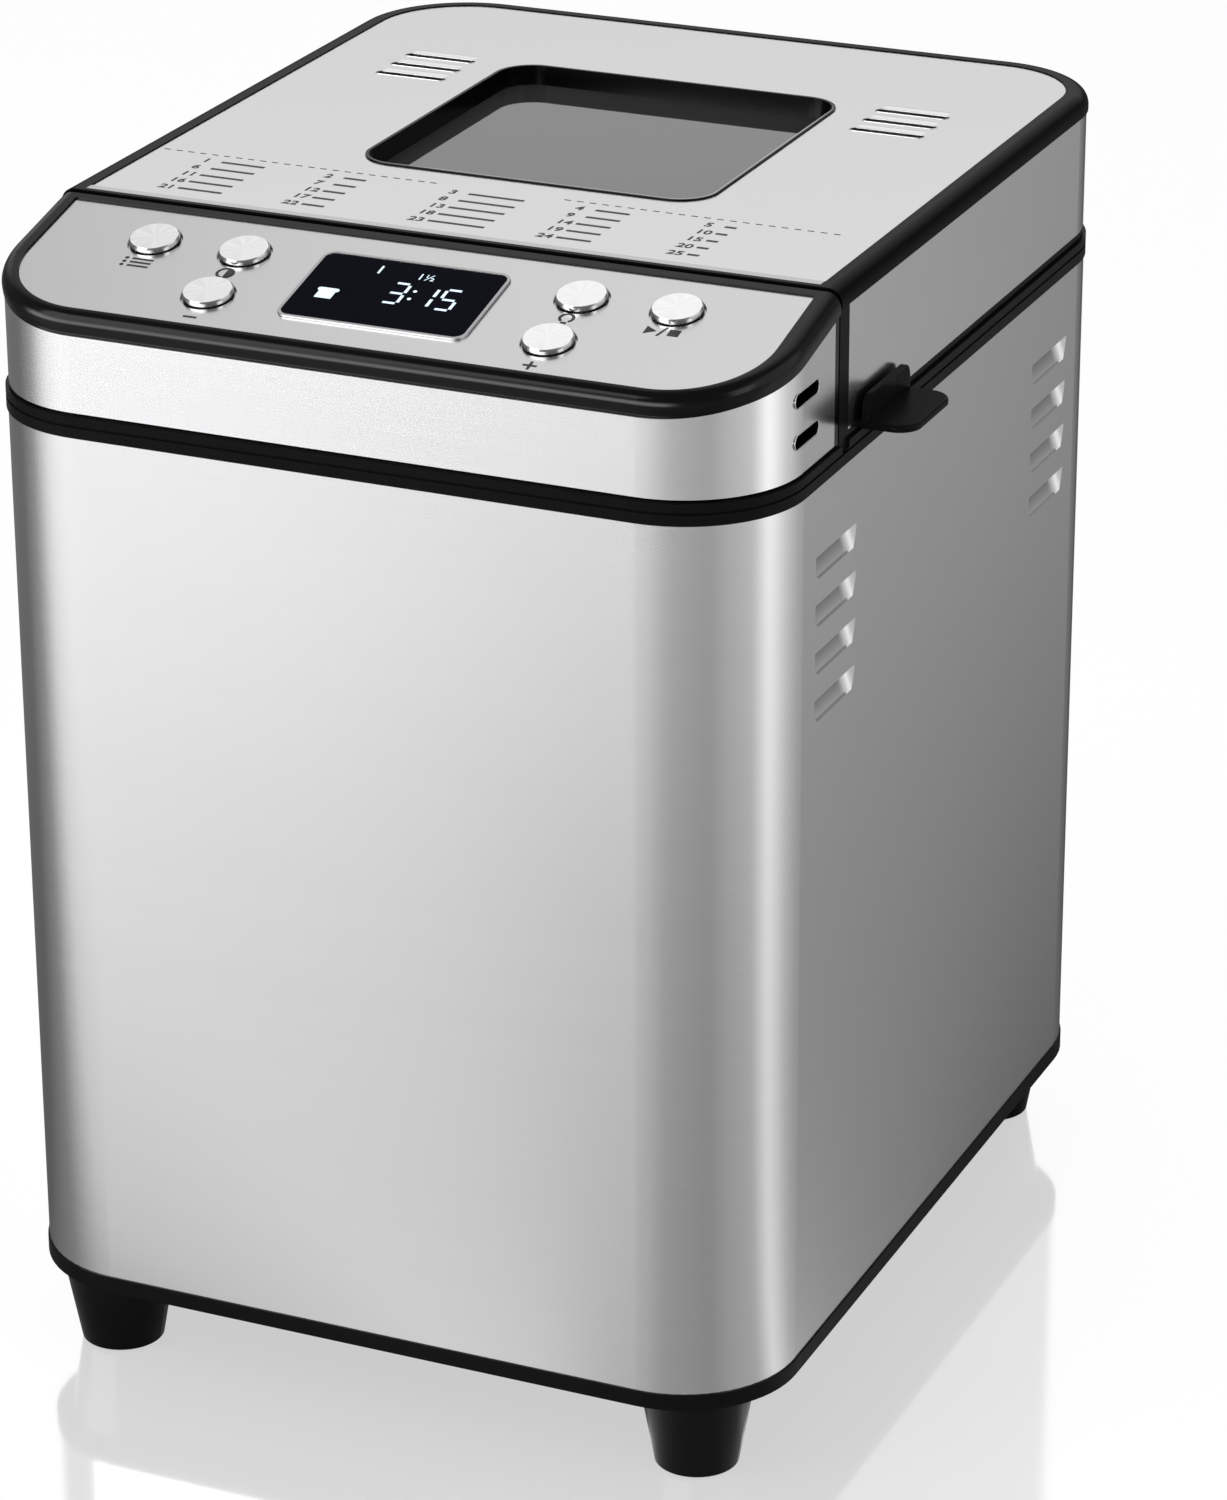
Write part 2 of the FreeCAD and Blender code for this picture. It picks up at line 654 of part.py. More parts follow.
def base_tray():
    """Moulded base with bosses for the feet, posts for the chassis and rails for a board."""
    top = z_wrap + s.upstand_height
    rim = outline(s.wrap_inset - s.base_proud, z_base, z_wrap)
    upstand = outline(lining_inset, z_wrap, top)
    hollow = outline(lining_inset + s.upstand_wall, z_base_floor, top)
    shell = cut(fuse(rim, upstand), hollow)
    grip = s.foot_height - s.foot_well_top + s.screw_grip
    solids = [shell]
    holes = []
    for x, y in foot_places():
        solids.append(rod(x, y, z_base, s.boss_radius, s.screw_grip + s.boss_radius))
        holes.append(screw_hole(x, y, z_base, s.foot_well_top + grip + s.sheet_gap))
    for x, y in chassis_places():
        solids.append(rod(x, y, z_base, s.post_radius, z_chassis_low - z_base))
        holes.append(screw_hole(x, y, z_chassis_low - s.screw_grip - s.sheet_gap, z_chassis_low))
    board = -s.power_board_side
    slot = s.board_sheet / 2 + s.sheet_gap
    rail = span(
        board - slot - s.rail_wall,
        board + slot + s.rail_wall,
        y_board,
        y_board + s.power_board_length,
        z_base,
        z_base_floor + s.rail_height,
    )
    channel = span(
        board - slot,
        board + slot,
        y_board,
        y_board + s.power_board_length,
        z_base_floor + s.rail_height - s.rail_slot,
        z_base_floor + s.rail_height,
    )
    notch = gland_notch(z_gland - s.gland_barrel - s.sheet_gap, top)
    piece("base_tray", cut(fuse(*solids, rail), channel, notch, *holes))


def feet():
    """Tapered feet, each with a well for its screw and a seat for its pad."""
    height = s.foot_height - s.pad_step
    made = []
    for x, y in foot_places():
        taper = cone(x, y, s.pad_step, s.foot_low_radius, s.foot_top_radius, height)
        seat = rod(x, y, 0, s.pad_radius + s.sheet_gap, s.pad_thickness)
        well = rod(x, y, s.pad_step, s.foot_well_radius, s.foot_well_top - s.pad_step)
        hole = screw_hole(x, y, s.foot_well_top, s.foot_height)
        made.append(cut(taper, seat, well, hole))
    piece("feet", group(*made))


def foot_pads():
    pads = [rod(x, y, 0, s.pad_radius, s.pad_thickness) for x, y in foot_places()]
    piece("foot_pads", group(*pads))


def foot_screws():
    length = s.foot_height - s.foot_well_top + s.screw_grip
    screws = [screw(x, y, s.foot_well_top, length, up=False) for x, y in foot_places()]
    piece("foot_screws", group(*screws))


def louvre_places():
    first = z_band - s.louvre_drop
    return [
        (side, s.louvre_back + s.louvre_reach * end, first - s.louvre_pitch * step)
        for side in SIDES
        for end in SIDES
        for step in range(4)
    ]


def louvre_block(side, y, z, grow):
    """A louvre's hollow, on a floor that leans inwards and up from its lower edge.

    It is drawn upright, outwards from the floor along X, and then leaned back.
    """
    front = -s.louvre_length / 2 - grow
    rear = s.louvre_length / 2 - s.louvre_scoop
    top = s.louvre_height * cosine(s.louvre_tilt) + grow
    corner = s.louvre_corner + grow
    depth = s.louvre_height
    near, far = (-grow, depth) if side > 0 else (-depth, grow)
    upper = span(near, far, front, rear, s.louvre_corner, top)
    lower = span(near, far, front + corner, rear, -grow, s.louvre_corner)
    ease = rod(near, front + corner, s.louvre_corner, corner, far - near, axis="X")
    scoop = rod(s.louvre_scoop * side, rear, -grow, s.louvre_scoop + grow, top + grow)
    block = group(fuse(upper, lower, ease, scoop))
    lean = -s.louvre_tilt * side
    block.Placement.Rotation = FreeCAD.Rotation(FreeCAD.Vector(0, 1, 0), s.louvre_tilt.number)
    block.setExpression("Placement.Rotation.Angle", lean.text)
    floor = half_width - s.wrap_inset - s.louvre_step
    return put(block, floor * side, y, z - s.louvre_height / 2)


def louvre_slit(side, y, z):
    """The gap along a louvre's upper edge, behind the wrap."""
    face = half_width - s.wrap_inset
    rise = s.louvre_height * sine(s.louvre_tilt) * cosine(s.louvre_tilt)
    inner = (face - s.louvre_step - rise) * side
    outer = (face - s.wrap_sheet) * side
    low, high = (inner, outer) if side > 0 else (outer, inner)
    front = y - s.louvre_length / 2 + s.wrap_sheet
    rear = y + s.louvre_length / 2 - s.louvre_scoop
    edge = z + s.louvre_height / 2
    return span(low, high, front, rear, edge - s.louvre_gap, edge + s.wrap_sheet * 2)


def housing_wrap():
    """Steel sheet round the case, with pressed-in louvres that open at their upper edge."""
    inside = outline(s.wrap_inset, z_wrap, z_band)
    shells = []
    hollows = []
    for side, y, z in louvre_places():
        shells.append(louvre_block(side, y, z, s.wrap_sheet))
        hollows.append(louvre_block(side, y, z, as_size(0)))
        hollows.append(louvre_slit(side, y, z))
    notch = gland_notch(z_wrap, z_gland + s.gland_barrel + s.sheet_gap)
    pressed = common(inside, group(*shells))
    hoop = band(s.wrap_inset, s.wrap_inset + s.wrap_sheet, z_wrap, z_band)
    piece("housing_wrap", cut(fuse(hoop, pressed), *hollows, notch))


def cord_gland():
    """Grommet between the base and the wrap, with the bore that a mains lead leaves by."""
    outside = half_depth - s.wrap_inset
    inside = half_depth - lining_inset - s.upstand_wall - s.sheet_gap
    x, z = -s.gland_side, z_gland
    flange = rod(x, outside, z, s.gland_flange, s.gland_lip, axis="Y")
    barrel = rod(x, outside - s.gland_length, z, s.gland_barrel, s.gland_length, axis="Y")
    clip = rod(x, inside - s.gland_lip, z, s.gland_clip, s.gland_lip, axis="Y")
    bore = rod(
        x,
        outside - s.gland_length,
        z,
        s.gland_bore,
        s.gland_length + s.gland_lip,
        axis="Y",
    )
    piece("cord_gland", cut(fuse(flange, barrel, clip), bore))


def hinge_ears():
    """Ears on the collar that carry the hinge pins."""
    ears = []
    for side in SIDES:
        low = s.hinge_side * side - s.hinge_ear / 2
        high = low + s.hinge_ear
        front = y_hinge - s.hinge_radius
        stem = span(low, high, front, y_hinge + s.hinge_radius, z_deck, z_hinge)
        ears.append(stem)
        ears.append(rod(low, y_hinge, z_hinge, s.hinge_radius, s.hinge_ear, axis="X"))
    return ears


def hinge_bores(radius):
    length = s.hinge_ear + s.knuckle * 2 + s.hinge_gap * 4
    return [
        rod(s.hinge_side * side - length / 2, y_hinge, z_hinge, radius, length, axis="X")
        for side in SIDES
    ]


def tongues(grow, reach):
    """Round tongues under the lid's front corners, or the collar's notches for them.

    A notch is larger all round by an amount and reaches further out.
    """
    made = []
    radius = s.tongue_width / 2
    depth = s.tongue_depth + grow
    for side in SIDES:
        start = half_width - depth if side > 0 else -half_width - reach
        middle = z_lid - s.tongue_drop + radius
        made.append(rod(start, y_lid + radius, middle, radius + grow, depth + reach, axis="X"))
    return made


def collar():
    """Black band round the top of the wrap, with the deck round the oven's mouth."""
    ring = outline(-s.collar_proud, z_band, z_collar)
    skirt = outline(lining_inset, z_band - s.collar_skirt, z_band)
    hollow = outline(lining_inset + s.collar_wall, z_band - s.collar_skirt, z_deck)
    mouth = slab(oven_width, oven_depth, s.oven_corner, z_deck, z_collar, y=s.oven_back)
    line = z_collar - s.groove_drop
    groove = band(-s.collar_proud, s.groove_depth - s.collar_proud, line - s.groove_height, line)
    seats = []
    for x, y in deck_screw_places():
        depth = s.screw_head_height + s.sheet_gap
        radius = s.screw_head_radius + s.sheet_gap
        seats.append(rod(x, y, z_collar - depth, radius, depth))
        seats.append(screw_hole(x, y, z_deck, z_collar))
    notches = tongues(s.fit_gap, s.collar_proud)
    solid = fuse(cut(fuse(ring, skirt), hollow, mouth, groove, *notches), *hinge_ears())
    piece("collar", cut(solid, *seats, *hinge_bores(s.pin_radius + s.press_gap)))


def deck_screws():
    seat = z_collar - s.screw_head_height - s.sheet_gap
    length = s.collar_deck + s.screw_grip
    screws = [screw(x, y, seat, length) for x, y in deck_screw_places()]
    piece("deck_screws", group(*screws))


def element_leg_places():
    return [s.element_leg * side for side in SIDES]


def oven_chamber():
    """Pressed steel oven, hung from the deck by its flange."""
    sheet_out = s.oven_sheet * 2
    flange_out = s.oven_flange * 2
    y = s.oven_back
    flange_corner = s.oven_corner + s.oven_flange
    shell = slab(
        oven_width + sheet_out,
        oven_depth + sheet_out,
        s.oven_corner + s.oven_sheet,
        z_oven_low,
        z_deck,
        y=y,
    )
    flange = slab(
        oven_width + flange_out,
        oven_depth + flange_out,
        flange_corner,
        z_deck - s.oven_sheet,
        z_deck,
        y=y,
    )
    hollow = slab(oven_width, oven_depth, s.oven_corner, z_oven, z_deck, y=y)
    wall = s.oven_sheet * 3
    front = y_oven_front - s.oven_sheet * 2
    holes = [rod(0, y, z_oven_low, s.bearing_radius + s.sheet_gap, s.oven_sheet)]
    for x in element_leg_places():
        z = z_oven + s.element_rise
        holes.append(rod(x, front, z, s.bushing_radius + s.sheet_gap, wall, axis="Y"))
    probe = s.sensor_radius + s.sheet_gap
    holes.append(rod(s.sensor_side, front, z_oven + s.sensor_rise, probe, wall, axis="Y"))
    side = -oven_width / 2 - s.oven_sheet * 2
    lens = s.lamp_radius + s.sheet_gap
    holes.append(rod(side, y, z_oven + s.lamp_rise, lens, wall, axis="X"))
    for x, y_screw in deck_screw_places():
        holes.append(screw_hole(x, y_screw, z_deck - s.oven_sheet, z_deck))
    piece("oven_chamber", cut(fuse(shell, flange), hollow, *holes))


def heating_element():
    """Sheathed tube bent round the oven, with both ends out through its front wall."""
    half_x = oven_width / 2 - s.element_wall_gap
    half_y = oven_depth / 2 - s.element_wall_gap
    front = s.element_bend + s.element_straight - oven_depth / 2
    tail = -(oven_depth / 2 + s.oven_sheet + s.element_tail)
    route = (
        (s.element_leg, tail),
        (s.element_leg, front),
        (half_x, front),
        (half_x, half_y),
        (-half_x, half_y),
        (-half_x, front),
        (-s.element_leg, front),
        (-s.element_leg, tail),
    )
    body = doc.addObject("PartDesign::Body", "Element")
    path = new_sketch(body, "XY_Plane", "Path")
    draw_square_route(path, route, s.element_bend)
    section = new_sketch(body, "XZ_Plane", "Section")
    centre = FreeCAD.Vector(s.element_leg.number, 0, 0)
    circle = Part.Circle(centre, FreeCAD.Vector(0, 0, 1), s.element_radius.number)
    section.addGeometry(circle)
    constrain(section, "Radius", 0, s.element_radius)
    constrain(section, "DistanceX", -1, 1, 0, 3, s.element_leg)
    constrain(section, "PointOnObject", 0, 3, -1)
    bind(section, **{"AttachmentOffset.Base.z": -tail})
    doc.recompute()
    pipe = body.newObject("PartDesign::AdditivePipe", "Tube")
    pipe.Profile = section
    pipe.Spine = path
    put(body, 0, s.oven_back, z_oven + s.element_rise)
    piece("heating_element", body)


def draw_square_route(sketch, route, bend):
    """A path of runs along X or Y, joined by tangent bends: all runs first, then the bends."""
    up = FreeCAD.Vector(0, 0, 1)
    points = [FreeCAD.Vector(x.number, y.number, 0) for x, y in route]
    runs = len(points) - 1
    ways = [(points[i + 1] - points[i]).normalize() for i in range(runs)]
    r = bend.number
    for i in range(runs):
        start = points[i] + ways[i] * (r if i else 0)
        end = points[i + 1] - ways[i] * (r if i < runs - 1 else 0)
        sketch.addGeometry(Part.LineSegment(start, end))
    for i in range(runs - 1):
        corner = points[i + 1]
        centre = corner - ways[i] * r + ways[i + 1] * r
        start = corner - ways[i] * r - centre
        end = corner + ways[i + 1] * r - centre
        turns_left = ways[i].cross(ways[i + 1]).z > 0
        first, last = (start, end) if turns_left else (end, start)
        begin = math.atan2(first.y, first.x)
        finish = math.atan2(last.y, last.x)
        sketch.addGeometry(Part.ArcOfCircle(Part.Circle(centre, up, r), begin, finish))
        here, there = (1, 2) if turns_left else (2, 1)
        constrain(sketch, "Tangent", i, 2, runs + i, here)
        constrain(sketch, "Tangent", runs + i, there, i + 1, 1)
        constrain(sketch, "Radius", runs + i, bend)
    for i in range(runs):
        x, y = route[i]
        if abs(ways[i].x) > 0.5:
            constrain(sketch, "Horizontal", i)
            constrain(sketch, "DistanceY", -1, 1, i, 1, y)
        else:
            constrain(sketch, "Vertical", i)
            constrain(sketch, "DistanceX", -1, 1, i, 1, x)
    constrain(sketch, "DistanceY", -1, 1, 0, 1, route[0][1])
    constrain(sketch, "DistanceY", -1, 1, runs - 1, 2, route[-1][1])


def element_bushings():
    """Ceramic bushings that carry the element through the oven wall."""
    outside = y_oven_front - s.oven_sheet
    z = z_oven + s.element_rise
    made = []
    for x in element_leg_places():
        flange = rod(x, outside - s.bushing_lip, z, s.bushing_flange, s.bushing_lip, axis="Y")
        barrel = rod(x, outside, z, s.bushing_radius, s.oven_sheet, axis="Y")
        bore_length = s.bushing_lip + s.oven_sheet
        bore_radius = s.element_radius + s.sheet_gap
        bore = rod(x, outside - s.bushing_lip, z, bore_radius, bore_length, axis="Y")
        made.append(cut(fuse(flange, barrel), bore))
    piece("element_bushings", group(*made))


def temperature_sensor():
    """Probe through the oven's front wall, on a plate outside it."""
    outside = y_oven_front - s.oven_sheet
    x, z = s.sensor_side, z_oven + s.sensor_rise
    length = s.sensor_nut_length
    nut = rod(x, outside - length, z, s.sensor_nut, length, axis="Y")
    probe = rod(x, outside, z, s.sensor_radius, s.oven_sheet + s.sensor_reach, axis="Y")
    tip = ball(x, y_oven_front + s.sensor_reach, z, s.sensor_radius)
    piece("temperature_sensor", fuse(nut, probe, tip))


def thermal_fuse():
    """Fuse under a clip on the outside of the oven's front wall."""
    outside = y_oven_front - s.oven_sheet
    z = z_oven + s.fuse_rise
    y = outside - s.fuse_clip - s.fuse_radius
    can = rod(-s.fuse_length / 2, y, z, s.fuse_radius, s.fuse_length, axis="X")
    half = s.fuse_length / 2 - s.fuse_radius
    reach = s.fuse_radius * 2
    clip = span(-half, half, y, outside, z - reach, z + reach)
    piece("thermal_fuse", fuse(can, clip))


def chamber_lamp():
    """Lamp behind a round lens in the oven's left wall."""
    outside = -oven_width / 2 - s.oven_sheet
    z = z_oven + s.lamp_rise
    holder = rod(outside - s.lamp_length, s.oven_back, z, s.lamp_body, s.lamp_length, axis="X")
    lens = rod(outside, s.oven_back, z, s.lamp_radius, s.oven_sheet + s.lamp_lens, axis="X")
    piece("chamber_lamp", fuse(holder, lens))


def pan_socket():
    """Ring on the oven floor that the pan's base sits in."""
    y = s.oven_back
    inner = s.pan_base_radius + s.fit_gap
    outer = inner + s.socket_wall
    plate = rod(0, y, z_oven, outer + s.socket_flange, s.socket_plate)
    ring = rod(0, y, z_socket, outer, s.socket_height)
    room = rod(0, y, z_socket, inner, s.socket_height)
    hole = rod(0, y, z_oven, s.bearing_radius + s.sheet_gap, s.socket_plate)
    piece("pan_socket", cut(fuse(plate, ring), room, hole))


def chassis_plate():
    """Steel plate that carries the motor and the drive bearing at a fixed distance."""
    middle_x = (s.chassis_right - s.chassis_left) / 2
    middle_y = (s.chassis_back - s.chassis_front) / 2
    plate = slab(
        s.chassis_left + s.chassis_right,
        s.chassis_front + s.chassis_back,
        s.chassis_corner,
        z_chassis_low,
        z_chassis,
        x=middle_x,
        y=middle_y,
    )
    shaft = s.shaft_radius * 2
    holes = [rod(0, s.oven_back, z_chassis_low, shaft, s.chassis_sheet)]
    motor = s.motor_shaft_radius * 2
    holes.append(rod(s.motor_side, -s.motor_front, z_chassis_low, motor, s.chassis_sheet))
    for x, y in chassis_places():
        holes.append(screw_hole(x, y, z_chassis_low, z_chassis))
    piece("chassis_plate", cut(plate, *holes))


def chassis_screws():
    length = s.chassis_sheet + s.screw_grip
    screws = [screw(x, y, z_chassis, length) for x, y in chassis_places()]
    piece("chassis_screws", group(*screws))


def motor():
    """Motor can on the chassis plate, shaft downwards."""
    x, y = s.motor_side, -s.motor_front
    can = rod(x, y, z_chassis, s.motor_radius, s.motor_height)
    bell = rod(x, y, z_chassis + s.motor_height, s.motor_bell_radius, s.motor_bell_height)
    bore = rod(x, y, z_chassis, s.motor_shaft_radius + s.running_gap, s.motor_shaft_seat)
    piece("motor", cut(fuse(can, bell), bore))


def run_capacitor():
    """Boxed capacitor beside the motor."""
    right = s.motor_side - s.motor_radius - s.fuse_radius
    front = -s.motor_front - s.capacitor_width / 2
    can = span(
        right - s.capacitor_length,
        right,
        front,
        front + s.capacitor_width,
        z_chassis,
        z_chassis + s.capacitor_height,
    )
    piece("run_capacitor", can)


def pulley(x, y, seat_radius):
    """A flanged pulley with a flat belt seat."""
    rim = seat_radius + s.pulley_flange
    low = rod(x, y, z_pulley, rim, s.pulley_flange)
    seat = rod(x, y, z_pulley, seat_radius, s.pulley_width)
    top = rod(x, y, z_pulley_top - s.pulley_flange, rim, s.pulley_flange)
    return [low, seat, top]


def motor_pulley():
    """Small pulley, in one piece with the motor's shaft."""
    x, y = s.motor_side, -s.motor_front
    top = z_chassis + s.motor_shaft_seat - s.sheet_gap
    shaft = rod(x, y, z_pulley, s.motor_shaft_radius, top - z_pulley)
    piece("motor_pulley", fuse(*pulley(x, y, s.motor_pulley_radius), shaft))


def drive_pulley():
    """Large pulley, dished down to a web round its hub."""
    x, y = 0, s.oven_back
    inner = s.drive_pulley_radius - s.pulley_flange
    depth = (s.pulley_width - s.pulley_web) / 2
    dish_low = rod(x, y, z_pulley, inner, depth)
    dish_top = rod(x, y, z_pulley_top - depth, inner, depth)
    hub = rod(x, y, z_pulley, s.pulley_hub_radius, s.pulley_width)
    bore = rod(x, y, z_pulley, s.shaft_radius + s.press_gap, s.pulley_width)
    wheel = cut(fuse(*pulley(x, y, s.drive_pulley_radius)), dish_low, dish_top)
    piece("drive_pulley", cut(fuse(wheel, hub), bore))


def belt_loop(large, small, centre_large, centre_small, low, height):
    """An open belt's loop: two arcs and the two straight runs that touch both circles."""
    along = centre_small - centre_large
    spread = math.acos((large - small) / along.Length)
    heading = math.atan2(along.y, along.x)

    def on_circle(centre, radius, angle):
        return centre + FreeCAD.Vector(math.cos(angle), math.sin(angle), 0) * radius

    left, right = heading + spread, heading - spread
    back = heading + math.pi
    corners = [
        on_circle(centre_large, large, left),
        on_circle(centre_large, large, right),
        on_circle(centre_small, small, right),
        on_circle(centre_small, small, left),
    ]
    edges = [
        Part.Arc(corners[0], on_circle(centre_large, large, back), corners[1]).toShape(),
        Part.makeLine(corners[1], corners[2]),
        Part.Arc(corners[2], on_circle(centre_small, small, heading), corners[3]).toShape(),
        Part.makeLine(corners[3], corners[0]),
    ]
    face = Part.Face(Part.Wire(edges))
    face.translate(FreeCAD.Vector(0, 0, low))
    return face.extrude(FreeCAD.Vector(0, 0, height))


def drive_belt():
    """Flat belt round both pulleys."""
    centre_large = FreeCAD.Vector(0, s.oven_back.number, 0)
    centre_small = FreeCAD.Vector(s.motor_side.number, -s.motor_front.number, 0)
    low = (z_pulley + s.pulley_flange + s.belt_gap).number
    height = (s.pulley_width - s.pulley_flange * 2 - s.belt_gap * 2).number
    loops = []
    for grow in (s.belt_gap, s.belt_gap + s.belt_thickness):
        large = (s.drive_pulley_radius + grow).number
        small = (s.motor_pulley_radius + grow).number
        loops.append(belt_loop(large, small, centre_large, centre_small, low, height))
    item = doc.addObject("Part::Feature", "Belt")
    item.Shape = loops[1].cut(loops[0])
    item.Placement = FreeCAD.Placement()
    piece("drive_belt", item)


def drive_bearing():
    """Flanged bearing that stands on the chassis and reaches up through the oven floor."""
    y = s.oven_back
    flange = rod(0, y, z_chassis, s.bearing_flange, s.bearing_lip)
    shoulder = rod(0, y, z_chassis, s.bearing_radius + s.bearing_lip, z_oven_low - z_chassis)
    barrel = rod(0, y, z_chassis, s.bearing_radius, z_socket - z_chassis)
    bore = rod(0, y, z_chassis, s.shaft_radius + s.running_gap, z_socket - z_chassis)
    piece("drive_bearing", cut(fuse(flange, shoulder, barrel), bore))


def drive_shaft():
    piece("drive_shaft", rod(0, s.oven_back, z_pulley, s.shaft_radius, z_dogs - z_pulley))


def drive_coupler():
    """Disc with two dogs that turn the pan's wings."""
    y = s.oven_back
    disc = rod(0, y, z_coupler, s.coupler_radius, s.coupler_disc)
    dogs = []
    for side in SIDES:
        outer = (s.coupler_radius - s.press_gap) * side
        inner = outer - s.dog_length * side
        low, high = (inner, outer) if side > 0 else (outer, inner)
        half = s.dog_width / 2
        dogs.append(span(low, high, y - half, y + half, z_coupler, z_dogs + s.dog_height))
    bore = rod(0, y, z_coupler, s.shaft_radius + s.press_gap, s.coupler_disc)
    piece("drive_coupler", cut(fuse(disc, *dogs), bore))


def power_board():
    """Circuit board on edge in its rails, left of the motor."""
    half = s.board_sheet / 2
    low = z_base_floor + s.rail_height - s.rail_slot
    board = span(
        -s.power_board_side - half,
        -s.power_board_side + half,
        y_board,
        y_board + s.power_board_length,
        low,
        low + s.power_board_height,
    )
    piece("power_board", board)


def power_components():
    """Relay, transformer and smoothing capacitor on the inner face of the power board."""
    face = -s.power_board_side + s.board_sheet / 2
    low = z_base_floor + s.rail_height + s.rail_slot
    front = y_board + s.rail_slot
    deep = s.relay_height
    relay = span(face, face + deep, front, front + s.relay_length, low, low + deep)
    start = front + s.relay_length + s.transformer_gap
    transformer = span(
        face,
        face + s.transformer_width,
        start,
        start + s.transformer_length,
        low,
        low + s.transformer_height,
    )
    can = rod(face, front + deep / 2, low + s.can_rise, s.can_radius, s.can_length, axis="X")
    piece("power_components", group(relay, transformer, can))


def vent_slots(grow):
    """Slots through both sides of the console, larger all round by an amount."""
    slots = []
    half = s.vent_width / 2 + grow
    straight = (s.vent_length - s.vent_width) / 2
    middle = y_console - s.vent_back
    front, rear = middle - straight, middle + straight
    for step in range(2):
        z = z_collar + s.seam_gap + s.vent_low + s.vent_pitch * step
        slots.append(span(-FAR, FAR, front, rear, z - half, z + half))
        slots.append(rod(-FAR, front, z, half, FAR * 2, axis="X"))
        slots.append(rod(-FAR, rear, z, half, FAR * 2, axis="X"))
    return slots


def console_frame():
    """Black moulding of the console: walls, back edge and the rim round the control plate."""
    back = s.console_edge
    top = z_crest
    walls = common(outline(s.skin_sheet + s.sheet_gap, z_collar, top), ahead(y_console, z_collar, top))
    edge_box = span(-half_width, half_width, y_console - back, y_console, z_collar, top)
    inner = s.skin_sheet + s.sheet_gap + s.console_wall
    room = common(outline(inner, z_collar, top), ahead(y_console - back, z_collar, top))
    above = tilted(span(-FAR, FAR, -FAR, FAR, -s.console_rim, FAR))
    lower = cut(fuse(walls, edge_box), room, above, *vent_slots(s.fit_gap))
    run = half_depth + y_console - back + s.rim_proud
    depth = run / cosine(s.console_slope)
    low = -s.console_rim
    rim_block = slab(
        s.case_width + s.rim_proud * 2,
        depth * 2,
        s.case_corner,
        low,
        s.console_rim_up,
        rounding=s.console_rim_round,
    )
    rim = common(rim_block, span(-FAR, FAR, -FAR, depth, low, s.console_rim_up))
    seat = plate_outline(s.sheet_gap, -s.plate_sheet, s.console_rim_up)
    opening = plate_outline(-s.plate_ledge, low, s.console_rim_up)
    posts = []
    reach = half_width - s.plate_inset - s.plate_ledge - s.board_post / 2
    for side in SIDES:
        for up_slope in (s.board_post_back, s.board_post_front):
            length = s.control_board_drop - s.plate_sheet
            z = -s.control_board_drop
            posts.append(rod(reach * side, -up_slope, z, s.board_post, length))
    rim_top = tilted(fuse(cut(rim, seat, opening), *posts))
    in_front = ahead(y_console, z_collar, top + s.console_rim)
    piece("console_frame", fuse(lower, common(rim_top, in_front)))


def plate_outline(grow, low, high):
    """The control plate's outline on its own plane, larger all round by an amount."""
    length = (half_width - s.plate_inset + grow) * 2
    block = slab(length, (s.plate_length + grow) * 2, s.plate_corner + grow, low, high)
    return common(block, span(-FAR, FAR, -FAR, grow, low, high))


def console_skin():
    """Steel band round the front and the sides of the console, with vent slots."""
    low = z_collar + s.seam_gap
    top = z_crest
    hoop = band(0, s.skin_sheet, low, top)
    stop = y_console - s.console_edge - s.sheet_gap
    above = tilted(span(-FAR, FAR, -FAR, FAR, -s.console_rim - s.sheet_gap, FAR))
    slots = vent_slots(as_size(0))
    piece("console_skin", cut(common(hoop, ahead(stop, low, top)), above, *slots))


def button_places():
    return {
        "button_program": (-s.button_outer, -s.button_high),
        "button_colour": (-s.button_inner, -s.button_high),
        "button_minus": (-s.button_inner, -s.button_low),
        "button_light": (s.button_inner, -s.button_high),
        "button_plus": (s.button_inner, -s.button_low),
        "button_start": (s.button_outer, -s.button_high),
    }


def display_outline(grow, low, high):
    """The display lens's outline on the plate's plane, larger all round by an amount."""
    length = s.display_length + grow * 2
    width = s.display_width + grow * 2
    return slab(length, width, s.display_corner + grow, low, high, y=-s.display_back)


def control_plate():
    """Steel plate of the console, with holes for the buttons and the display."""
    plate = plate_outline(as_size(0), -s.plate_sheet, as_size(0))
    holes = [display_outline(s.bezel_wall + s.sheet_gap, -s.plate_sheet, as_size(0))]
    for x, y in button_places().values():
        holes.append(rod(x, y, -s.plate_sheet, s.button_radius + s.button_gap, s.plate_sheet))
    piece("control_plate", tilted(cut(plate, *holes)))


def display_bezel():
    """Bright edge round the display, held by a flange under the plate."""
    low = -s.plate_sheet - s.bezel_lip
    edge = display_outline(s.bezel_wall, low, s.bezel_rise)
    flange = display_outline(s.bezel_wall + s.bezel_flange, low, -s.plate_sheet)
    seat = s.display_rise - s.display_sheet
    room = display_outline(s.sheet_gap, seat, s.bezel_rise)
    opening = display_outline(-s.bezel_wall, low, seat)
    piece("display_bezel", tilted(cut(fuse(edge, flange), room, opening)))


def display_lens():
    low = s.display_rise - s.display_sheet
    piece("display_lens", tilted(display_outline(as_size(0), low, s.display_rise)))


def lcd_module():
    """Display module on the control board, under the lens."""
    top = s.display_rise - s.display_sheet - s.sheet_gap
    module = display_outline(-s.lcd_border, -s.control_board_drop, top)
    piece("lcd_module", tilted(module))


def control_board():
    """Circuit board under the control plate, against the console's posts."""
    half = half_width - s.skin_sheet - s.console_wall - s.control_board_side
    top = -s.control_board_drop
    board = span(
        -half,
        half,
        -s.control_board_front,
        -s.control_board_back,
        top - s.board_sheet,
        top,
    )
    piece("control_board", tilted(board))


